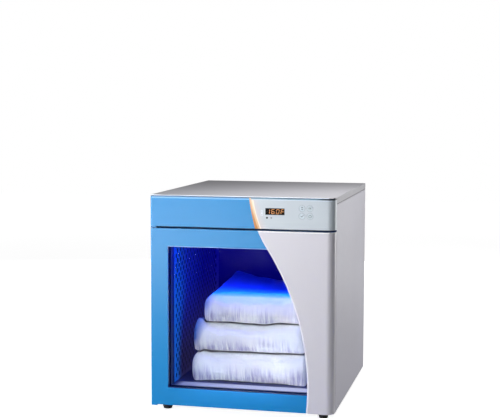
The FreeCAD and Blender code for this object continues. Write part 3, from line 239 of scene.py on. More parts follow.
# where a finish changes along x, y or z, from one place to the other, in metres
# the panel's painted highlight, then the painted shadow in the gap under the lid
PANEL_TOP = (0.6104, 0.6110)
LID_GAP_SHADOW = (0.6131, 0.6137)
COVER_TOP = (0.5222, 0.5236)
LID_FRONT = (-0.3095, -0.3110)
LID_LIP = (0.6163, 0.6167)
LID_SIDE = (0.2575, 0.2600)
LID_FOOT = (0.6035, 0.6025)
PANEL_END = (0.205, 0.235)
STRIPE_RISE = (0.548, 0.612)
WINDOW_TOP = (0.465, 0.4735)
WINDOW_FOOT = (0.0785, 0.082)
WALL_FACE = (0.2150, 0.2170)
MOUTH_FLOOR = (0.0712, 0.0722)


def top_edge(coat, z, colour, painted_light, gap_shadow):
    """The top of the panel: a painted highlight along its edge, and above it a painted shadow in the gap
    under the lid.
    """
    return coat.blend(z.ramp(*LID_GAP_SHADOW), coat.blend(z.ramp(*PANEL_TOP), colour, painted_light), gap_shadow)


def make_front_blue():
    """Smooth semi-gloss paint, with a painted highlight along the panel's top edge and a painted shadow
    above it under the lid.
    """
    coat = painted("front_blue", BLUE, 0.31, 0.000012, mottle=0.02, specular=0.30)
    _, _, z = coat.axes()
    # painted highlight along the top edge, painted shadow in the gap under the lid
    coat.tint(top_edge(coat, z, coat.tone, (0.20, 0.50, 0.85), (0.10, 0.28, 0.55)))
    return coat


def make_cover_grey():
    """Smooth pale paint, with a painted highlight over the top edge of the cover."""
    coat = painted("cover_grey", (0.66, 0.65, 0.71), 0.36, 0.000012, mottle=0.015, specular=0.25)
    _, _, z = coat.axes()
    # painted highlight along the cover's top edge
    coat.tint(coat.blend(z.ramp(*COVER_TOP), coat.tone, (0.98, 0.98, 1.0)))
    return coat


def make_lid_grey():
    """Powder coat, with a painted highlight over the front lip and a painted shadow in the seam at the foot
    of its right skirt.
    """
    coat = painted("lid_grey", (0.47, 0.465, 0.50), 0.48, 0.00004, specular=0.2)
    x, y, z = coat.axes()
    # painted highlight along the front lip
    lip = y.ramp(*LID_FRONT) * z.ramp(*LID_LIP)
    # painted shadow of the seam at the foot of the right skirt
    seam = x.ramp(*LID_SIDE) * z.ramp(*LID_FOOT)
    painted_light = coat.blend(lip, coat.tone, (0.80, 0.88, 1.0))
    coat.tint(coat.blend(seam, painted_light, (0.10, 0.10, 0.12)))
    return coat


def stripe_edge(z):
    """x of the stripe's right side at height z of the casing, in metres: a shallow curve."""
    foot = 0.5315
    rise = 0.085
    t = (z - foot) / rise
    return 0.0505 - t * 0.0335 + t * t * 0.010


def make_overlay():
    """Printed film: pale grey-blue, warmer beside the stripe, with a painted highlight along its top edge
    and a painted shadow above it under the lid.
    """
    pale = (0.54, 0.60, 0.655)
    film = printed("overlay_grey", pale)
    x, _, z = film.axes()
    # painted shadow in the gap under the lid, darker towards the right end
    gap_shadow = film.blend(x.ramp(*PANEL_END), (0.20, 0.34, 0.45), (0.012, 0.02, 0.04))
    past = x - stripe_edge(z)
    warm = film.blend(past.ramp(0.030, 0.001) * 0.8, pale, (0.68, 0.60, 0.62))
    inner = film.blend(z.ramp(*STRIPE_RISE), (0.70, 0.40, 0.17), (0.84, 0.68, 0.52))
    border = film.blend(past.ramp(0.001, 0.006), inner, (0.94, 0.85, 0.70))
    warm = film.blend(past.ramp(0.0078, 0.0052), warm, border)
    tone = film.blend(film.noise(12, detail=2) * 0.06, warm, (0.8, 0.86, 0.9))
    film.tint(top_edge(film, z, tone, (0.60, 0.69, 0.78), gap_shadow))
    return film


def make_stripe():
    """Printed orange band, paler towards its top and along its right side."""
    film = printed("stripe_orange", (0.78, 0.27, 0.05))
    x, _, z = film.axes()
    flank = (x - stripe_edge(z)).ramp(-0.0045, 0.001)
    body = film.blend(z.ramp(*STRIPE_RISE), (0.54, 0.23, 0.06), (0.70, 0.45, 0.25))
    film.tint(film.blend(flank * 0.6, body, (0.92, 0.74, 0.52)))
    return film


def make_chamber_paint():
    """Enamel, dark blue as painted lamplight and shade, with a painted glow growing higher up, almost black
    behind the perforated walls as painted shade.
    """
    enamel = enamelled("chamber_paint", (0.003, 0.004, 0.10), 0.34)
    x, _, z = enamel.axes()
    # painted shade behind the perforated walls
    behind = x.abs().ramp(*WALL_FACE)
    lit = enamel.blend(enamel.noise(7, detail=3), (0.002, 0.003, 0.07), (0.004, 0.006, 0.12))
    # painted glow of the lamp strip's blue light, brighter higher up
    glow = enamel.blend(z.ramp(0.15, 0.45), (0.0, 0.0, 0.03), (0.001, 0.0005, 0.15))
    enamel.tint(enamel.blend(behind, lit, (0.0005, 0.001, 0.012)))
    enamel.glow(enamel.blend(behind, glow, (0.0, 0.0, 0.004)))
    return enamel


def make_wall_paint():
    """Blue enamel of the perforated walls, with painted light: lighter and glowing beside the lamp strip,
    and painted shade that leaves it almost black lower down.
    """
    enamel = enamelled("wall_paint", (0.006, 0.03, 0.30), 0.38)
    _, y, z = enamel.axes()
    upper = z.ramp(0.12, 0.38)
    front = y.ramp(upper * 0.09 - 0.15, -0.212) ** 1.5
    # painted light: lighter towards the front and the top, near the lamp strip
    mix = front * 0.85 + enamel.noise(9, detail=3) * 0.12
    enamel.tint(enamel.blend(mix, (0.012, 0.006, 0.035), (0.004, 0.10, 0.40)))
    # painted glow of the lamp strip's light, fading back and down into painted shade
    high = enamel.blend(y.ramp(0.12, -0.2), (0.001, 0.001, 0.19), (0.004, 0.014, 0.38))
    deep = enamel.blend(upper, (0.015, 0.013, 0.060), high)
    strip = enamel.blend(z.ramp(0.28, 0.44), (0.006, 0.072, 0.33), (0.003, 0.036, 0.14))
    enamel.glow(enamel.blend(front, deep, strip))
    return enamel


def lit_strip(coat, y, far, near, dark):
    """Gives a floor plate the light that the lamp strip throws on it between two depths."""
    x, _, _ = coat.axes()
    lit = y.ramp(far + 0.002, far - 0.002) * y.ramp(near - 0.004, near + 0.002) * x.ramp(-0.208, -0.180)
    glow = coat.blend(x.ramp(-0.20, 0.05), (0.19, 0.22, 0.38), (0.42, 0.45, 0.60))
    coat.glow(coat.blend(lit, dark, glow))


def make_deck():
    """Blue-grey enamel floor of the chamber, lit along its front edge."""
    plate = painted("deck_paint", (0.07, 0.08, 0.14), 0.5, 0.00002, specular=0.2)
    _, y, _ = plate.axes()
    lit_strip(plate, y, far=-0.227, near=-0.30, dark=(0.001, 0.001, 0.012))
    return plate


def make_frame_steel():
    """Dark blue paint of the chamber's mouth, with light on its front edge and on its floor."""
    coat = painted("frame_steel", (0.016, 0.042, 0.155), 0.38, 0.00002)
    _, y, z = coat.axes()
    brow = y.ramp(-0.276, -0.273) * y.ramp(-0.264, -0.268)
    edge = coat.blend(brow, NO_LIGHT, (0.018, 0.032, 0.05))
    lit_strip(coat, y + z.ramp(*MOUTH_FLOOR), far=-0.21, near=-0.272, dark=edge)
    return coat


def make_edge_trim():
    """Slim moulding round the window: blue, with a painted highlight along the top and painted shade at the
    bottom.
    """
    trim = painted("edge_trim", (0.30, 0.52, 0.95), 0.3, 0.000006)
    _, _, z = trim.axes()
    # painted highlight along the top, painted shade at the bottom
    side = trim.blend(z.ramp(*WINDOW_TOP), (0.06, 0.30, 0.66), (0.34, 0.56, 1.0))
    trim.tint(trim.blend(z.ramp(*WINDOW_FOOT), (0.001, 0.03, 0.20), side))
    return trim


def make_glass():
    """Clear toughened glass: all but unseen face on, with more sheen at a slant, and a little wavy."""
    pane = Finish("window_glass", (0.0, 0.001, 0.012), 0.04, specular=0.1)
    facing = pane.node("ShaderNodeLayerWeight", {"Blend": 0.5}, output="Facing")
    pane.set("IOR", 1.5)
    pane.set("Alpha", facing ** 4 * 0.35 + (pane.noise(9, detail=2) - 0.5) * 0.004 + 0.008)
    pane.set("Roughness", pane.noise(26, detail=2) * 0.03 + 0.02)
    pane.bump(pane.noise(7, detail=1), 0.0001)
    return pane


def make_wool():
    """Pale mineral-wool slab with matted fibres."""
    slab = Finish("wool", (0.80, 0.72, 0.48), 0.95)
    fibres = slab.noise(420, stretch=(0.25, 1.6, 1.0), detail=5, distortion=1.2)
    tufts = slab.noise(45, detail=4)
    slab.tint(slab.blend(fibres * 0.6 + tufts * 0.4, (0.50, 0.42, 0.24), (0.92, 0.86, 0.64)))
    slab.bump(fibres + tufts, 0.0012)
    return slab


def make_board_green():
    """Solder mask over copper tracks."""
    mask = Finish("board_green", (0.03, 0.2, 0.08), 0.4)
    x, _, z = mask.axes()
    across = ((x * 900).sine() * (z * 240).sine()).ramp(0.1, 0.3)
    mask.tint(mask.blend(across, (0.025, 0.17, 0.07), (0.07, 0.34, 0.14)))
    mask.set("Roughness", 0.46 - across * 0.12)
    mask.bump(across, 0.00004)
    return mask


def make_diffuser():
    """Frosted strip, lit from inside by a row of small lamps."""
    pitch = 0.0125
    strip = Finish("diffuser", (0.25, 0.45, 1.0), 0.5)
    x, _, _ = strip.axes()
    dots = ((x * (math.pi / pitch)).sine().abs()).ramp(0.0, 1.0)
    strip.glow(strip.blend(dots, (0.02, 0.18, 1.0), (0.25, 0.5, 1.0)), 2.2)
    strip.set("Roughness", strip.noise(300) * 0.2 + 0.4)
    strip.bump(strip.noise(900, detail=2), 0.00003)
    return strip


def make_cable_sheath():
    """Braided silicone sheath: two crossing sets of strands round the cable."""
    sheath = Finish("cable_sheath", (0.02, 0.024, 0.045), 0.6)
    _, y, z = sheath.axes()
    across = y * 2600
    along = z * 3400
    braid = ((across + along).sine() * (across - along).sine()).abs()
    sheath.tint(sheath.blend(braid, (0.012, 0.014, 0.03), (0.04, 0.045, 0.08)))
    sheath.set("Roughness", braid * 0.15 + 0.5)
    sheath.bump(braid, 0.00012)
    return sheath


def make_cotton():
    """Thermal-blanket cotton: fine ribs over each fold, gathers, and a soft cellular weave, with painted
    shade and painted lamplight.
    """
    rib_pitch = 0.0036
    cloth = Finish("blanket_cotton", (0.84, 0.88, 0.94), 0.92, sheen_weight=0.2, sheen_roughness=0.5,
                   specular=0.15)
    x, y, z = cloth.axes()
    gather_and_shade, fold, end = [cloth.node("ShaderNodeAttribute", settings={"attribute_name": mark}, output="Fac")
                         for mark in ("gather_and_shade", "fold", "end")]
    turn = 2 * math.pi / rib_pitch
    ribs = ((x * turn + cloth.noise(18, detail=2) * 5.0).sine() + 1) * 0.5
    weave = (((y + z) * turn).sine() * ((y - z) * turn).sine()).abs()
    streaks = cloth.noise(150, stretch=(1.0, 0.1, 0.1), detail=3)
    lines = cloth.noise(330, stretch=(1.0, 0.06, 0.06), detail=2)
    # painted shade: lighter and darker streaks where the folded edge gathers, and its lower half darker
    painted_light = (streaks * 0.6 + lines * 0.4 - 0.5) * gather_and_shade
    tone = (painted_light * 4.5 - gather_and_shade * 0.58 + ribs * 0.08 + weave * 0.06 + 0.90).most(0).least(1)
    # the low tone is the lavender of the painted shade
    pale = cloth.blend(tone, (0.42, 0.43, 0.68), (0.92, 0.96, 1.0))
    # painted blue shade at the left ends
    shaded = cloth.blend(end, pale, (0.10, 0.24, 0.72))
    # painted blue lamplight over the top of the stack, cyan at its front
    crest = cloth.blend(y.ramp(-0.185, -0.09), (0.06, 0.66, 1.0), (0.03, 0.22, 1.0))
    lamp_lit_top = cloth.blend(z.ramp(0.3185, 0.3300), shaded, crest)
    # painted shade, near black, in the seams between the blankets
    cloth.tint(cloth.blend(fold, lamp_lit_top, (0.07, 0.055, 0.10)))
    cloth.set("Roughness", 0.95 - ribs * 0.08)
    cloth.bump(ribs * 0.4 + weave * 0.3 + painted_light * 3.0 + streaks * 0.3, 0.0011)
    return cloth


def plain_glow(name, colour, strength):
    """A lit part: a lamp segment or lens, a little uneven in its light."""
    lit = Finish(name, colour, 0.4)
    flicker = lit.noise(700, detail=2)
    lit.tint(lit.blend(flicker, shade(colour, 0.8), colour))
    lit.glow(lit.blend(flicker, shade(colour, 0.85), colour), strength)
    return lit


FINISHES = {finish.name: finish for finish in (
    make_lid_grey(), make_front_blue(), make_cover_grey(), make_overlay(), make_stripe(),
    make_frame_steel(), make_chamber_paint(), make_wall_paint(), make_deck(), make_edge_trim(),
    make_glass(), make_wool(), make_cable_sheath(), make_board_green(), make_diffuser(), make_cotton(),
    plain_glow("lit_segment", (1.0, 0.42, 0.13), 0.95),
    painted("casing_grey", GREY, 0.46, 0.00004),
    cast("magnet_black", (0.05, 0.05, 0.052), 0.6),
    cast("transformer_iron", (0.16, 0.15, 0.15), 0.5, metallic=0.6),
    brushed("inner_steel", (0.62, 0.62, 0.64), 0.34, X),
    brushed("screw_zinc", (0.66, 0.66, 0.68), 0.3, Z),
    brushed("pin_steel", (0.72, 0.72, 0.74), 0.16, X, 0.000006),
    brushed("probe_steel", (0.66, 0.66, 0.67), 0.24, Y),
    brushed("thermostat_metal", (0.74, 0.74, 0.75), 0.3, X),
    brushed("light_channel", (0.74, 0.74, 0.77), 0.3, X),
    brushed("spacer_metal", (0.6, 0.62, 0.68), 0.35, X),
    moulded("window_trim", (0.005, 0.018, 0.11), 0.42, 0.00004),
    moulded("gasket_rubber", (0.05, 0.05, 0.06), 0.62, 0.00006),
    moulded("foot_rubber", (0.016, 0.016, 0.018), 0.66, 0.00012, scale=600),
    moulded("bush_plastic", (0.78, 0.76, 0.70), 0.45, 0.00003),
    moulded("black_plastic", (0.022, 0.022, 0.024), 0.48, 0.00006),
    moulded("display_black", (0.005, 0.005, 0.006), 0.4, specular=0.1),
    moulded("smoked_window", (0.004, 0.003, 0.003), 0.4, 0.000004, specular=0.1, alpha=0.2),
    moulded("dark_segment", (0.02, 0.009, 0.005), 0.5, specular=0.1),
    moulded("lamp_dark", (0.006, 0.007, 0.009), 0.35, specular=0.15),
    moulded("lamp_lens", (0.34, 0.37, 0.40), 0.2),
    moulded("key_grey", (0.57, 0.66, 0.72), 0.38),
    moulded("symbol_ink", (0.07, 0.10, 0.12), 0.5, 0.000004),
    moulded("ring_ink", (0.36, 0.43, 0.47), 0.5, 0.000004),
    moulded("symbol_pale", (0.82, 0.84, 0.98), 0.45, 0.000004),
)}

for part in frame["record"]["subparts"]:
    finish = "wall_paint" if part["node"].startswith("perforated") else part["material_slot"]
    for material_slot in frame["nodes"][part["node"]].material_slots:
        material_slot.material = FINISHES[finish].material


# ---- modelling helpers
def deselect():
    if bpy.context.mode != "OBJECT":
        bpy.ops.object.mode_set(mode="OBJECT")
    bpy.ops.object.select_all(action="DESELECT")


def pick(piece):
    """Selects one piece only, and makes it active."""
    deselect()
    bpy.context.view_layer.objects.active = piece
    piece.select_set(True)


def settle(name):
    """Names the primitive just added and puts its place into its mesh."""
    piece = bpy.context.object
    piece.name = name
    piece.data.name = name
    bpy.ops.object.transform_apply(location=True, rotation=True, scale=True)
    return piece


def start_box(name, low, high):
    deselect()
    middle = [(a + b) / 2 for a, b in zip(low, high)]
    size = [b - a for a, b in zip(low, high)]
    bpy.ops.mesh.primitive_cube_add(size=1, location=middle, scale=size)
    return settle(name)


def start_block(name, x, z, half_x, half_z, front, back):
    """A box with its middle at x, z."""
    return start_box(name, (x - half_x, front, z - half_z), (x + half_x, back, z + half_z))


TURNS = {X: (0, math.pi / 2, 0), Y: (-math.pi / 2, 0, 0), Z: (0, 0, 0)}


def start_disc(name, middle, axis, radius, length, sides=32, far_radius=None):
    """A round bar or a cone frustum along an axis, its first end low."""
    deselect()
    bpy.ops.mesh.primitive_cone_add(vertices=sides, radius1=radius, radius2=far_radius or radius,
                                    depth=length, location=middle, rotation=TURNS[axis])
    return settle(name)


def edit(piece, kind="FACE"):
    pick(piece)
    bpy.ops.object.mode_set(mode="EDIT")
    bpy.ops.mesh.select_mode(type=kind)


def edit_all(piece):
    edit(piece)
    bpy.ops.mesh.select_all(action="SELECT")


SQUARE_ON = 0.9     # the share of a direction along an axis from which it counts as along it


def along(axis, way=0, where=lambda at: True):
    """A test for faces or edges along an axis, either way or one way, at some places."""
    def test(at, direction):
        part = direction[axis] * way if way else abs(direction[axis])
        return part > SQUARE_ON and where(at)
    return test


def choose(piece, test, kind="FACE"):
    """Edit mode, with the faces or edges chosen that pass a test on their middle and direction."""
    edit(piece, kind)
    shape = bmesh.from_edit_mesh(piece.data)
    shape.normal_update()
    for item in (*shape.verts, *shape.edges, *shape.faces):
        item.select = False
    if kind == "FACE":
        for face in shape.faces:
            face.select_set(test(face.calc_center_median(), face.normal))
    else:
        for side in shape.edges:
            a, b = [point.co for point in side.verts]
            side.select_set(test((a + b) / 2, (b - a).normalized()))
    shape.select_flush_mode()
    bmesh.update_edit_mesh(piece.data)


def leave():
    bpy.ops.object.mode_set(mode="OBJECT")


def bevel(width, segments):
    """Bevels what is chosen and leaves edit mode."""
    bpy.ops.mesh.bevel(offset=width, segments=segments, affect="EDGES")
    leave()


def extrude_up(height):
    bpy.ops.mesh.extrude_region_move(TRANSFORM_OT_translate={"value": (0, 0, height)})


def face_outward(piece, merge=0):
    """Joins points nearer than merge, and points all faces outwards."""
    edit_all(piece)
    if merge:
        bpy.ops.mesh.remove_doubles(threshold=merge)
    bpy.ops.mesh.normals_make_consistent(inside=False)
    leave()


def hollow(plate, width):
    """Leaves of a plate or disc a hoop of a width, seen along Y."""
    choose(plate, along(Y))
    bpy.ops.mesh.inset(thickness=width)
    bpy.ops.mesh.bridge_edge_loops()
    face_outward(plate)
    return plate


def apply_modifier(piece, kind, **settings):
    pick(piece)
    modifier = piece.modifiers.new(kind.lower(), kind)
    for setting, value in settings.items():
        setattr(modifier, setting, value)
    bpy.ops.object.modifier_apply(modifier=modifier.name)


def cut(tool, *pieces):
    """Takes the tool's shape out of the pieces, and the tool away."""
    for piece in pieces:
        apply_modifier(piece, "BOOLEAN", operation="DIFFERENCE", object=tool, solver="EXACT")
    bpy.data.objects.remove(tool)


def round_edges(piece, width, segments=2, angle=30):
    apply_modifier(piece, "BEVEL", width=width, segments=segments, limit_method="ANGLE",
                   angle_limit=math.radians(angle))


def join(pieces, name):
    """Several meshes as one piece."""
    deselect()
    for piece in pieces:
        piece.select_set(True)
    bpy.context.view_layer.objects.active = pieces[0]
    if len(pieces) > 1:
        bpy.ops.object.join()
    pieces[0].name = name
    pieces[0].data.name = name
    return pieces[0]


def copy_of(piece, matrix):
    """A copy with its own mesh, moved by a matrix."""
    twin = piece.copy()
    twin.data = piece.data.copy()
    twin.data.transform(matrix)
    bpy.context.scene.collection.objects.link(twin)
    return twin


def finish_piece(piece, body, slot, finish=None, smooth=35):
    """Shades the piece, gives it its material and hangs it on its body."""
    pick(piece)
    bpy.ops.object.shade_smooth_by_angle(angle=math.radians(smooth))
    piece.data.materials.clear()
    piece.data.materials.append(FINISHES[finish or slot].material)
    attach(piece, body)


def read(mesh, what="co"):
    """The places or the normals of a mesh's points, a row each."""
    values = np.empty(len(mesh.vertices) * 3)
    mesh.vertices.foreach_get(what, values)
    return values.reshape(-1, 3)


def islands(node):
    """The points of each separate solid of a CAD node."""
    twin = copy_of(frame["nodes"][node], Matrix())
    twin.parent = None
    edit_all(twin)
    bpy.ops.mesh.remove_doubles(threshold=1e-6)
    bpy.ops.mesh.separate(type="LOOSE")
    leave()
    parts = list(bpy.context.selected_objects)
    found = [read(part.data) for part in parts]
    for part in parts:
        bpy.data.objects.remove(part)
    return found


# ---- fasteners and feet
def make_screws():
    """Pan-head screws with a cross recess."""
    head_radius = 4 * MM
    head_height = 2.4 * MM
    shank_radius = 1.95 * MM
    neck = 2.3 * MM     # where the shank starts, inside the head
    recess_length = 4.2 * MM
    recess_width = 0.9 * MM
    recess_depth = 1.0 * MM
    heads = []
    for points in islands("casing_screws"):
        low = points.min(0)
        high = points.max(0)
        middle = (low + high) / 2
        # two of a screw's sizes are its head's, and the odd one out is its length
        size = high - low
        axis = int(np.argmax(np.abs(size - np.median(size))))
        widest = []
        for level in (low[axis], high[axis]):
            near = points[np.abs(points[:, axis] - level) < 1e-5]
            widest.append(np.abs(np.delete(near - middle, axis, 1)).max())
        tip, top = low[axis], high[axis]
        inward = -1
        if widest[1] <= widest[0]:
            tip, top = top, tip
            inward = 1

        def on_axis(level):
            at = middle.copy()
            at[axis] = level
            return at

        cap = start_disc("screw_head", on_axis(top + inward * head_height / 2), axis, head_radius,
                         head_height, sides=24)
        choose(cap, along(axis, -inward))
        bevel(1.1 * MM, 3)
        shank = start_disc("screw_shank", on_axis((tip + top + inward * neck) / 2), axis, shank_radius,
                           abs(tip - top) - neck, sides=16)
        for across in range(3):
            if across != axis:
                half = np.full(3, recess_width / 2)
                half[across] = recess_length / 2
                half[axis] = recess_depth
                cut(start_box("recess", on_axis(top) - half, on_axis(top) + half), cap)
        heads += [cap, shank]
    screws = join(heads, "cross_recess_screws")
    finish_piece(screws, "root", "screw_zinc")
    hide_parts("casing_screws")


def make_feet():
    """Tapered rubber feet: rounded rims, a ring groove, and the bore that hides the screw."""
    sole_radius = 12 * MM
    top_radius = 17.5 * MM
    rim = 2 * MM
    groove = 0.8 * MM
    land = 2.4 * MM
    bore_depth = 11.8 * MM
    bore_at_top = 15.4 * MM     # from the outside to the screw's hole, at the top and in the bore
    bore_inside = 3.9 * MM
    near = 0.1 * MM
    for node in ("foot_front_left", "foot_front_right", "foot_rear_left", "foot_rear_right"):
        low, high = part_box(node)
        middle = (low + high) / 2
        foot = start_disc(f"{node}_rubber", middle, Z, sole_radius, high.z - low.z, sides=40,
                          far_radius=top_radius)
        choose(foot, along(Z, where=lambda at: at.z < middle.z))
        for width, rise in ((rim, 0), (groove, -groove), (groove, groove), (land, 0)):
            bpy.ops.mesh.inset(thickness=width, depth=rise)
        extrude_up(bore_depth)
        choose(foot, along(Z, where=lambda at: at.z > high.z - near))
        bpy.ops.mesh.inset(thickness=bore_at_top)
        bpy.ops.mesh.delete(type="FACE")
        choose(foot, along(Z, where=lambda at: low.z + 11 * MM < at.z < high.z - near))
        bpy.ops.mesh.inset(thickness=bore_inside)
        extrude_up(high.z - low.z - bore_depth)
        bpy.ops.mesh.delete(type="FACE")
        face_outward(foot, merge=0.05 * MM)
        round_edges(foot, 0.5 * MM)
        finish_piece(foot, "root", "foot_rubber")
        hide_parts(node)


# ---- window edge and gasket
def ring(name, half, foot, top, face, back, width):
    """A rectangular ring, square in section, made from a box with its middle taken out."""
    return hollow(start_box(name, (-half, face, foot), (half, back, top)), width)


def make_window_edge():
    """A slim trim that lines the front edge of the window, with a painted highlight along its top."""
    low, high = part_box("window_bezel")
    edge = 8.06 * MM    # the bezel's lap behind the door's skin, and a hair of clearance
    trim = ring("window_edge_trim", high.x - edge, low.z + edge, high.z - edge, -0.3110, -0.3086, 1.6 * MM)
    round_edges(trim, 0.5 * MM, segments=3)
    finish_piece(trim, "door", "front_blue", "edge_trim")


def make_gasket():
    """The door seal: a rounded bulb on flat lips."""
    low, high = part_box("door_gasket")
    depth = high.y - low.y
    width = 10 * MM
    inset = 2.2 * MM
    lips = ring("gasket_lips", high.x, low.z, high.z, low.y, low.y + depth * 0.45, width)
    round_edges(lips, 0.4 * MM)
    bulb = ring("gasket_bulb", high.x - inset, low.z + inset, high.z - inset, low.y + depth * 0.3,
                high.y, width - 2 * inset)
    round_edges(bulb, 1.2 * MM, segments=4)
    seal = join([lips, bulb], "door_seal")
    finish_piece(seal, "door", "gasket_rubber")
    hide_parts("door_gasket")


# ---- control panel
DOOR_FACE = -0.3111
INK = 0.12 * MM         # how far a print stands proud
SEGMENTS = {"1": "bc", "6": "acdefg", "0": "abcdef", "F": "aefg"}


def make_segment(length, width, face, back):
    """A bar with pointed ends, centred on the origin, along X."""
    bar = start_block("segment", 0, 0, length / 2, width / 2, face, back)
    choose(bar, along(Y, where=lambda at: abs(at.x) > length * 0.49), "EDGE")
    bevel(width * 0.49, 1)
    return bar


def make_display():
    """Seven-segment digits behind a smoked window: amber bars, the others almost black."""
    low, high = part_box("display_window")

    def slab(name, margin, front, back):
        return start_box(name, (low.x + margin * MM, low.y + front * MM, low.z + margin * MM),
                         (high.x - margin * MM, low.y + back * MM, high.z - margin * MM))

    pane = slab("display_pane", 0.05, 0, 0.45)
    round_edges(pane, 0.2 * MM)
    finish_piece(pane, "root", "display_black", "smoked_window")
    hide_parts("display_window")
    back = slab("display_backing", 0.3, 0.8, 0.98)
    choose(back, along(Y, -1))
    bpy.ops.mesh.inset(thickness=1.2 * MM, depth=-0.05 * MM)
    leave()
    finish_piece(back, "root", "display_black")

    tall = 11.8 * MM
    wide = 7.4 * MM
    bar_width = 1.35 * MM
    gap = 0.4 * MM
    pitch = 13.2 * MM
    slant = 0.12
    face = low.y + 0.55 * MM
    rear = low.y + 0.75 * MM
    middle_z = (low.z + high.z) / 2
    first_x = (low.x + high.x) / 2 - 1.5 * pitch + 1.0 * MM
    flat = make_segment(wide - gap, bar_width, face, rear)
    upright = make_segment(tall / 2 - gap, bar_width, face, rear)
    upright.data.transform(Matrix.Rotation(math.pi / 2, 4, "Y"))
    places = {"a": (0, tall / 2), "g": (0, 0), "d": (0, -tall / 2), "b": (wide / 2, tall / 4),
              "c": (wide / 2, -tall / 4), "f": (-wide / 2, tall / 4), "e": (-wide / 2, -tall / 4)}
    lit = []
    dark = []
    for k, digit in enumerate("160F"):
        for bar, (x, z) in places.items():
            at = Matrix.Translation((first_x + pitch * k + x + z * slant, 0, middle_z + z))
            twin = copy_of(flat if bar in "agd" else upright, at)
            (lit if bar in SEGMENTS[digit] else dark).append(twin)
    bpy.data.objects.remove(flat)
    bpy.data.objects.remove(upright)
    finish_piece(join(lit, "display_digits"), "root", "lamp_lens", "lit_segment")
    finish_piece(join(dark, "display_dark_bars"), "root", "display_black", "dark_segment")


def make_lamps():
    """Two status lamps with domed lenses: one off, one pale."""
    from_left = sorted(islands("status_lamps"), key=lambda points: points[:, 0].mean())
    for k, (points, finish) in enumerate(zip(from_left, ("lamp_dark", "lamp_lens"))):
        low = points.min(0)
        high = points.max(0)
        x, _, z = middle = (low + high) / 2
        lens = start_disc(f"status_lamp_lens_{k}", middle, Y, 1.6 * MM, high[1] - low[1])
        head = start_disc("head", (x, DOOR_FACE - 0.4 * MM, z), Y, 2.6 * MM, 0.8 * MM)
        choose(head, along(Y, -1))
        bevel(0.5 * MM, 4)
        lens = join([lens, head], lens.name)
        finish_piece(lens, "root", "lamp_lens", finish)
        if k == 0:
            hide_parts("status_lamps")


def flat_ring(x, z, radius, width, face, sides=40):
    """A thin printed ring on a face that looks towards -Y."""
    return hollow(start_disc("mark", (x, face - INK / 2, z), Y, radius, INK, sides=sides), width)


def flat_bar(x, z, wide, tall, face, turn=0.0):
    """A thin printed bar with rounded ends, centred on x, z."""
    bar = start_block("mark", 0, 0, wide / 2, tall / 2, face - INK, face)
    choose(bar, along(Y), "EDGE")
    bevel(min(wide, tall) * 0.45, 3)
    bar.data.transform(Matrix.Translation((x, 0, z)) @ Matrix.Rotation(turn, 4, "Y"))
    return bar


def open_ring(x, z, radius, width, face):
    """A ring with a gap at its top."""
    hoop = flat_ring(x, z, radius, width, face)
    half = radius * 0.36
    cut(start_box("gap", (x - half, face - INK * 2, z + radius * 0.4),
                  (x + half, face + INK, z + radius * 1.4)), hoop)
    return hoop


def make_key_symbols():
    """A printed ring round each key and a symbol on it: arrows, a lamp, a tick and power."""
    line = 1.3 * MM
    ray = 4.3 * MM
    slant = math.pi / 4
    rings = []
    for key in ("key_select", "key_light", "key_set", "key_power"):
        low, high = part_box(key)
        x, _, z = (low + high) / 2
        face = low.y
        rings.append(flat_ring(x, z, 9.4 * MM, 0.8 * MM, DOOR_FACE))
        if key == "key_power":
            marks = [open_ring(x, z - 0.4 * MM, 4.3 * MM, line, face),
                     flat_bar(x, z + 2.2 * MM, line, 4.4 * MM, face)]
        elif key == "key_light":
            marks = [flat_ring(x, z, 2.3 * MM, line, face, sides=24)]
            for turn in [k * slant for k in range(8)]:
                marks.append(flat_bar(x + math.sin(turn) * ray, z + math.cos(turn) * ray, line * 0.8,
                                      2.0 * MM, face, turn))
        elif key == "key_set":
            marks = [flat_bar(x - 2.2 * MM, z - 1.2 * MM, line, 4.2 * MM, face, -slant),
                     flat_bar(x + 1.4 * MM, z + 0.1 * MM, line, 7.4 * MM, face, slant)]
        else:
            marks = [flat_bar(x + side * 1.5 * MM, z + way * 2.6 * MM, line, 4.6 * MM, face,
                              -side * way * slant) for way in (1, -1) for side in (1, -1)]
        finish_piece(join(marks, f"{key}_symbol"), key, "key_grey", "symbol_ink")
    finish_piece(join(rings, "key_rings"), "root", "overlay_grey", "ring_ink")


def make_panel_symbol():
    """A small thermometer beside the display: its bulb, two sides, top and column."""
    x = 58.3 * MM
    z = 575.5 * MM
    line = 0.9 * MM
    marks = [flat_ring(x, z - 5.0 * MM, 3.3 * MM, line, DOOR_FACE)]
    for right, up, wide, tall in ((-1.9, 2.2, 0.9, 9.5), (1.9, 2.2, 0.9, 9.5), (0, 7.2, 4.0, 0.9),
                                  (0, -0.6, 0.9, 7.0)):
        marks.append(flat_bar(x + right * MM, z + up * MM, wide * MM, tall * MM, DOOR_FACE))
    finish_piece(join(marks, "thermometer_symbol"), "root", "overlay_grey", "symbol_pale")


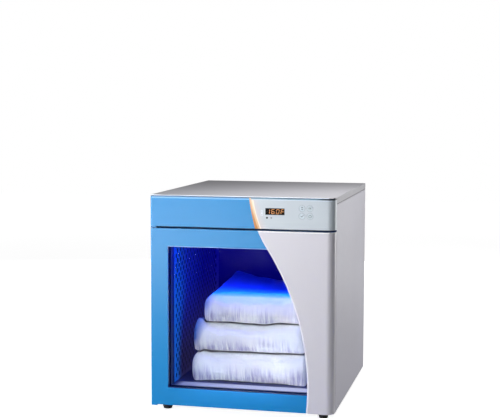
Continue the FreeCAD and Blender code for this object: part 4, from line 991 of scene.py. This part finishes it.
# ---- mains inlet
def make_inlet():
    """A flanged inlet: a six-sided recess, three flat pins and two countersunk screws."""
    low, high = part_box("power_inlet")
    middle = (low + high) / 2
    face = high.y - 0.35 * MM
    half_x = 14 * MM
    half_z = 10 * MM
    wall = 2 * MM
    flange = start_box("inlet_flange", (low.x, high.y - 2.4 * MM, low.z), (high.x, face, high.z))
    choose(flange, along(Y), "EDGE")
    bevel(4 * MM, 4)
    choose(flange, along(Y, 1))
    bpy.ops.mesh.inset(thickness=0.5 * MM, depth=0.0)
    leave()
    body = start_block("inlet_body", middle.x, middle.z, half_x, half_z, low.y, face - 0.1 * MM)
    recess = start_block("recess", middle.x, middle.z, half_x - wall, half_z - wall,
                         low.y + 6 * MM, face + 5 * MM)
    choose(recess, along(Y, where=lambda at: at.z > middle.z), "EDGE")
    bevel(4.5 * MM, 1)
    cut(recess, flange, body)
    shell = join([flange, body], "inlet_shell")
    round_edges(shell, 0.3 * MM, angle=50)
    finish_piece(shell, "root", "black_plastic")
    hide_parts("power_inlet")

    pins = []
    for right, up in ((-7, -2), (0, 2), (7, -2)):
        pin = start_block("pin", middle.x + right * MM, middle.z + up * MM, 1 * MM, 2 * MM,
                          low.y + 5 * MM, face - 5 * MM)
        choose(pin, along(Y, 1))
        bevel(0.8 * MM, 2)
        pins.append(pin)
    for x in (middle.x - 19.5 * MM, middle.x + 19.5 * MM):
        head = start_disc("head", (x, face - 0.1 * MM, middle.z), Y, 2.6 * MM, 0.9 * MM, sides=24)
        choose(head, along(Y, 1))
        bevel(0.4 * MM, 2)
        cut(start_block("slot", x, middle.z, 2.2 * MM, 0.35 * MM, face, face + 1 * MM), head)
        pins.append(head)
    finish_piece(join(pins, "inlet_pins"), "root", "pin_steel")


# ---- blankets
def lattice_noise(points, seed):
    """Smooth noise from -1 to 1 at points of unit grid spacing."""
    cell = np.floor(points).astype(int)
    part = points - cell
    part = part * part * (3 - 2 * part)
    total = np.zeros(len(points))
    for corner in range(8):
        step = np.array([corner & 1, corner >> 1 & 1, corner >> 2 & 1])
        at = cell + step
        value = np.sin(at[:, 0] * 127.1 + at[:, 1] * 311.7 + at[:, 2] * 74.7 + seed * 53.3) * 43758.5453
        value = (value - np.floor(value)) * 2 - 1
        total += value * np.prod(np.where(step, part, 1 - part), axis=1)
    return total


def through(points, x):
    """A smooth curve through (x, height) points, level beyond its ends."""
    xs, zs = np.array(points, float).T
    k = np.clip(np.searchsorted(xs, x) - 1, 0, len(xs) - 2)
    t = np.clip((x - xs[k]) / (xs[k + 1] - xs[k]), 0, 1)
    return zs[k] + (zs[k + 1] - zs[k]) * t * t * (3 - 2 * t)


def write_points(piece, points):
    piece.data.vertices.foreach_set("co", points.ravel())
    piece.data.update()


def puff(piece, pressure, cap, frames):
    """Blows a cloth up a little under its own pressure, with no gravity."""
    rest = read(piece.data)
    cloth = piece.modifiers.new("cloth", "CLOTH")
    for setting, value in {"use_pressure": True, "uniform_pressure_force": pressure, "shrink_min": -0.03,
                           "tension_stiffness": 12, "compression_stiffness": 12,
                           "bending_stiffness": 0.6, "quality": 6}.items():
        setattr(cloth.settings, setting, value)
    cloth.settings.effector_weights.gravity = 0
    cloth.collision_settings.use_collision = False
    cloth.point_cache.frame_start = 1
    cloth.point_cache.frame_end = frames
    scene = bpy.context.scene
    for step in range(1, frames + 1):
        scene.frame_set(step)
    moved = read(piece.evaluated_get(bpy.context.evaluated_depsgraph_get()).to_mesh()) - rest
    piece.modifiers.remove(cloth)
    scene.frame_set(1)
    length = np.linalg.norm(moved, axis=1, keepdims=True)
    write_points(piece, rest + moved * np.minimum(1, cap / np.maximum(length, 1e-9)))


SEAM_GAP = 1.2 * MM         # the air over and under a seam
EDGE_DEPTH = 60 * MM        # how far back the shape of the folded edge reaches
LEAN = 2 * MM               # of that edge, back at its foot
FOOT_SPREAD = 11 * MM       # of the lowest one's foot over the deck
CROWN = 5 * MM              # of the topmost one's back
LAYER = 11.5 * MM           # between the grooves of the nested layers
GROOVE = 6 * MM             # their depth
# where the blankets meet, at the front: (x, z) in millimetres
DECK_SEAM = [(-200, 70.6), (0, 70.2), (200, 70.6)]
LOW_SEAM = [(-172, 153), (-150, 155), (-137, 159), (-112, 154.5), (-30, 156), (60, 156.5), (165, 161)]
HIGH_SEAM = [(-168, 247), (-154, 256), (-143, 255), (-129, 243.5), (-60, 241), (0, 238.5), (35, 237.5),
             (90, 245), (150, 247)]
TOP_LINE = [(-134, 324), (-100, 328), (-60, 331), (20, 331), (156, 333)]
TOP_BACK = [(-145, 347), (-110, 347), (-80, 340), (-30, 329), (40, 319), (156, 312)]


def seam_height(curve, points, seed):
    """Height of a seam over the stack: its front line, fading to gentle waves further back."""
    x, y = points[:, 0], points[:, 1]
    front = through(curve, x / MM) * MM
    level = np.mean([z for _, z in curve]) * MM
    fade = np.exp(-np.clip(y + 0.20, 0, None) / 0.10)
    wave = lattice_noise(np.stack([x / 0.09, y / 0.09, x * 0], 1), seed) * 1.8 * MM
    return level + (front - level) * fade + wave * (1 - fade)


def hump(distance, width):
    return np.exp(-(distance / width) ** 2)


def share_of(values):
    """Each value as a share of the way from the least to the most."""
    return (values - values.min()) / np.ptp(values)


def fold_blanket(node, seed, floor, roof, hems, shaded_end=0.0):
    """One folded blanket: a blown-up block pressed between its neighbours, with nested layers at its
    ends, gathers low on its folded edge, and hems: the x, width, height and reach up of each."""
    low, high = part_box(node)
    slack = Vector((4 * MM,) * 3)
    middle_z = (low.z + high.z) / 2
    on_deck = floor[0] is DECK_SEAM
    open_top = roof[0] is TOP_LINE
    blanket = start_box(node.replace("folded_", ""), low + slack, high - slack)
    for width, test in ((24 * MM, lambda at: at.z > middle_z and at.x < 0),
                        (12 * MM, lambda at: at.z > middle_z and at.x > 0.1),
                        (9 * MM, lambda at: at.z < middle_z - 20 * MM)):
        choose(blanket, along(Y, where=test), "EDGE")
        bevel(width, 4)
    apply_modifier(blanket, "REMESH", mode="VOXEL", voxel_size=4.6 * MM)
    puff(blanket, pressure=4, cap=6 * MM, frames=20)
    apply_modifier(blanket, "SMOOTH", factor=0.5, iterations=7)

    points = read(blanket.data)
    x, y, z = points.T      # a change to one of these moves the points
    # fit the solid that it stands for, with the folds bulging a little past its ends
    first = low.x - 4.5 * MM
    last = high.x + 6 * MM
    x[:] = first + share_of(x) * (last - first)
    y[:] = low.y + share_of(y) * (high.y - low.y)
    # press it between its floor and its roof
    press = 0.07
    top_press = 0.02 if open_top else press
    share = np.clip((share_of(z) - press) / (1 - press - top_press), 0, 1)
    front = hump(y - low.y, EDGE_DEPTH)
    slot = SEAM_GAP * (0.3 + front)
    below = seam_height(floor[0], points, floor[1]) + (0 if on_deck else slot)
    above = seam_height(roof[0], points, roof[1]) - slot
    if open_top:
        back = np.clip((y - low.y) / (high.y - low.y), 0, 1)
        above += (through(TOP_BACK, x / MM) * MM - above) * back
        above += CROWN * np.sin(np.pi * back) ** 0.7
        left = np.clip(1 - (x - low.x) / (high.x - low.x), 0, 1)
        x -= 9 * MM * back * left ** 2
    # the folded edge leans back towards its foot
    y += front * LEAN * np.clip(1 - share / 0.5, 0, 1) ** 2
    z[:] = below + share * (above - below)
    # on the deck its foot spreads forward, to meet the deck square
    if on_deck:
        y -= front * FOOT_SPREAD * np.exp(-(z - below) / (4 * MM))

    # nested layers at both ends: the folded sheet turns round the front and back
    depth = np.minimum.reduce([z - below, above - z, y - low.y, high.y - y])
    groove = 1 - np.abs(np.sin(np.pi * np.clip(depth + 2 * MM, 0, None) / LAYER)) ** 0.7
    for end, way in ((low.x, 1), (high.x, -1)):
        near = np.clip(1 - (x - end) * way / (14 * MM), 0, 1)
        behind = np.clip((y - low.y - 12 * MM) / (25 * MM), 0, 1)
        x += way * groove * behind * near ** 1.5 * GROOVE
    write_points(blanket, points)
    apply_modifier(blanket, "SUBSURF", levels=1, render_levels=1)

    # gathers and hems on the folded edge, in millimetres along the normals
    points = read(blanket.data)
    x, y, z = points.T
    normals = read(blanket.data, "normal")

    def noise(layer, *size):
        """Noise with waves of a size in metres, or of one along each axis."""
        return lattice_noise(points / np.array(size), seed + layer)

    slow = noise(0, 0.055) * 1.2 + noise(1, 0.024) * 0.5
    creases = np.abs(noise(2, 0.009, 0.07, 0.06))
    ribs = noise(3, 0.0055, 0.09, 0.07)
    patch = np.clip(noise(4, 0.045, 0.06, 0.05) * 1.6 + 0.75, 0.4, 1)
    facing = np.clip(-normals[:, Y], 0, 1)
    bottom = seam_height(floor[0], points, floor[1]) + SEAM_GAP
    top = seam_height(roof[0], points, roof[1]) - SEAM_GAP
    height = np.clip((z - bottom) / (high.z - low.z), 0, 1)
    # the lower part of the folded edge: gathers in the shape, and painted shade in the cotton's colour
    gather_and_shade = facing * np.clip(1.35 - height * 2.0, 0, 1) ** 1.2 * patch
    outward = slow * (0.6 - facing * 0.42) + gather_and_shade * (ribs * 0.8 - creases * 0.8)
    for hem, wide, tall, reach in hems:
        ridge = hump(x - hem * MM, wide * MM)
        outward += facing * tall * ridge * np.clip((reach - height) * 8, 0, 1)
    outward += facing * 0.9 * hump(z - bottom - 8 * MM, 3.5 * MM)
    # the band along each seam: kept undisplaced, and painted dark in the cotton as shade
    fold = np.clip(1 - (z - bottom) / (2.4 * MM), 0, 1) * (0 if on_deck else 1)
    if not open_top:
        fold = np.maximum(fold, np.clip(1 - (top - z) / (1.6 * MM), 0, 1))
    points += normals * (outward * (1 - fold))[:, None] * MM
    write_points(blanket, points)
    # painted blue shade at the left end, reaching further near the top
    reach = (16 + 40 * height ** 2) * MM
    end = shaded_end * np.clip(1 - (x - low.x) / reach, 0, 1) * np.clip(height * 3 - 0.4, 0, 1)
    for name, values in {"gather_and_shade": gather_and_shade, "fold": fold, "end": end}.items():
        mark = blanket.data.attributes.new(name, "FLOAT", "POINT")
        mark.data.foreach_set("value", values.astype(np.float32))
    finish_piece(blanket, "root", "blanket_cotton", smooth=180)
    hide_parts(node)


make_screws()
make_feet()
make_window_edge()
make_gasket()
make_display()
make_lamps()
make_key_symbols()
make_panel_symbol()
make_inlet()
fold_blanket("folded_blanket_lower", 3, (DECK_SEAM, 1), (LOW_SEAM, 2),
             [(-147, 4, 1.6, 1.2), (-122, 1.6, 1.4, 0.5)])
fold_blanket("folded_blanket_middle", 17, (LOW_SEAM, 2), (HIGH_SEAM, 5),
             [(-121, 1.6, 1.4, 0.6)], shaded_end=1.2)
fold_blanket("folded_blanket_upper", 31, (HIGH_SEAM, 5), (TOP_LINE, 8),
             [(-118, 3, 1.0, 0.8)], shaded_end=0.9)


# ---- studio
def link(name, data):
    thing = bpy.data.objects.new(name, data)
    bpy.context.scene.collection.objects.link(thing)
    return thing


def add_lamp(name, at, aim, size, watts, colour=(1, 1, 1), spread=180):
    data = bpy.data.lights.new(name, "AREA")
    data.shape = "RECTANGLE"
    data.size, data.size_y = size
    data.energy = watts
    data.color = colour
    data.spread = math.radians(spread)
    lamp = link(name, data)
    lamp.location = at
    lamp.rotation_mode = "QUATERNION"
    lamp.rotation_quaternion = (Vector(aim) - Vector(at)).to_track_quat("-Z", "Y")
    lamp.visible_camera = False
    return lamp


def ray_is(tree, kind):
    """1 for a ray of the kind, 0 for any other."""
    return Signal(tree, tree.nodes.new("ShaderNodeLightPath").outputs[f"Is {kind} Ray"])


def make_studio():
    deselect()
    bpy.ops.mesh.primitive_plane_add(size=14, location=(0, 0, -0.0002))
    floor = settle("floor")
    paper = Finish("floor_paper", (0.80, 0.80, 0.80), 0.9)
    x, y, _ = paper.axes()
    far = (x * x + y * y).ramp(4, 30)
    white = ray_is(paper.tree, "Camera") * (far * 0.06 + 0.86)
    white = paper.node("ShaderNodeEmission", {"Color": (1, 1, 1), "Strength": white})
    own = Signal(paper.tree, paper.shader.outputs[0])
    both = paper.node("ShaderNodeAddShader", {0: own, 1: white})
    feed(paper.tree, paper.tree.nodes["Material Output"].inputs["Surface"], both)
    paper.bump(paper.noise(300, detail=3), 0.0002)
    floor.data.materials.append(paper.material)

    world = bpy.data.worlds.new("studio")
    bpy.context.scene.world = world
    world.use_nodes = True
    tree = world.node_tree
    sky = tree.nodes["Background"]
    seen = ray_is(tree, "Camera")
    feed(tree, sky.inputs["Strength"], seen + (1 - seen) * (ray_is(tree, "Glossy") * 0.24 + 0.10))
    feed(tree, sky.inputs["Color"], (1, 1, 1))

    add_lamp("front_softbox", (-1.1, -2.3, 0.27), (0, -0.3, 0.78), (1.7, 0.42), 6.5, spread=76)
    add_lamp("left_softbox", (-2.15, -1.35, 0.32), (0, -0.3, 0.72), (0.9, 0.5), 14.6, spread=110)
    add_lamp("side_softbox", (2.3, 2.45, 0.32), (0.2, 0.0, 0.20), (1.1, 1.1), 53)
    add_lamp("far_left_softbox", (-2.4, 1.2, 0.45), (-0.26, 0.0, 0.3), (1.2, 0.9), 12)
    back = add_lamp("back_softbox", (-0.5, 2.9, 0.3), (0, 0.3, 0.3), (1.6, 0.55), 32)
    back.visible_glossy = False
    add_lamp("lid_lamp", (0.20, -0.30, 1.12), (0.18, -0.28, 0.6), (1.1, 0.2), 5.4)
    add_lamp("strip_lamp_blue", (0, -0.2311, 0.4762), (0, -0.2311, 0.2), (0.37, 0.018), 0.9,
             colour=(0.0, 0.012, 1.0))
    add_lamp("strip_lamp_cyan", (0, -0.212, 0.378), (0, -0.212, 0.2), (0.30, 0.008), 0.15,
             colour=(0.0, 0.24, 1.0))
    add_lamp("window_beam", (-0.01, -2.8, 0.18), (-0.01, -0.3, 0.165), (0.30, 0.2), 0.116,
             colour=(0.74, 0.85, 1.0), spread=3)


def make_camera():
    data = bpy.data.cameras.new("camera")
    data.sensor_width = 36
    data.lens = 83.595
    camera = link("camera", data)
    right = Vector((0.974057, 0.226287, 0.002809))
    up = Vector((-0.023194, 0.087478, 0.995896))
    ahead = right.cross(up)
    turn = Matrix((right, up, ahead)).transposed().to_4x4()
    camera.matrix_world = Matrix.Translation((0.74475, -3.41169, 0.87451)) @ turn
    bpy.context.scene.camera = camera


make_studio()
make_camera()
bpy.context.scene.view_settings.view_transform = "Standard"
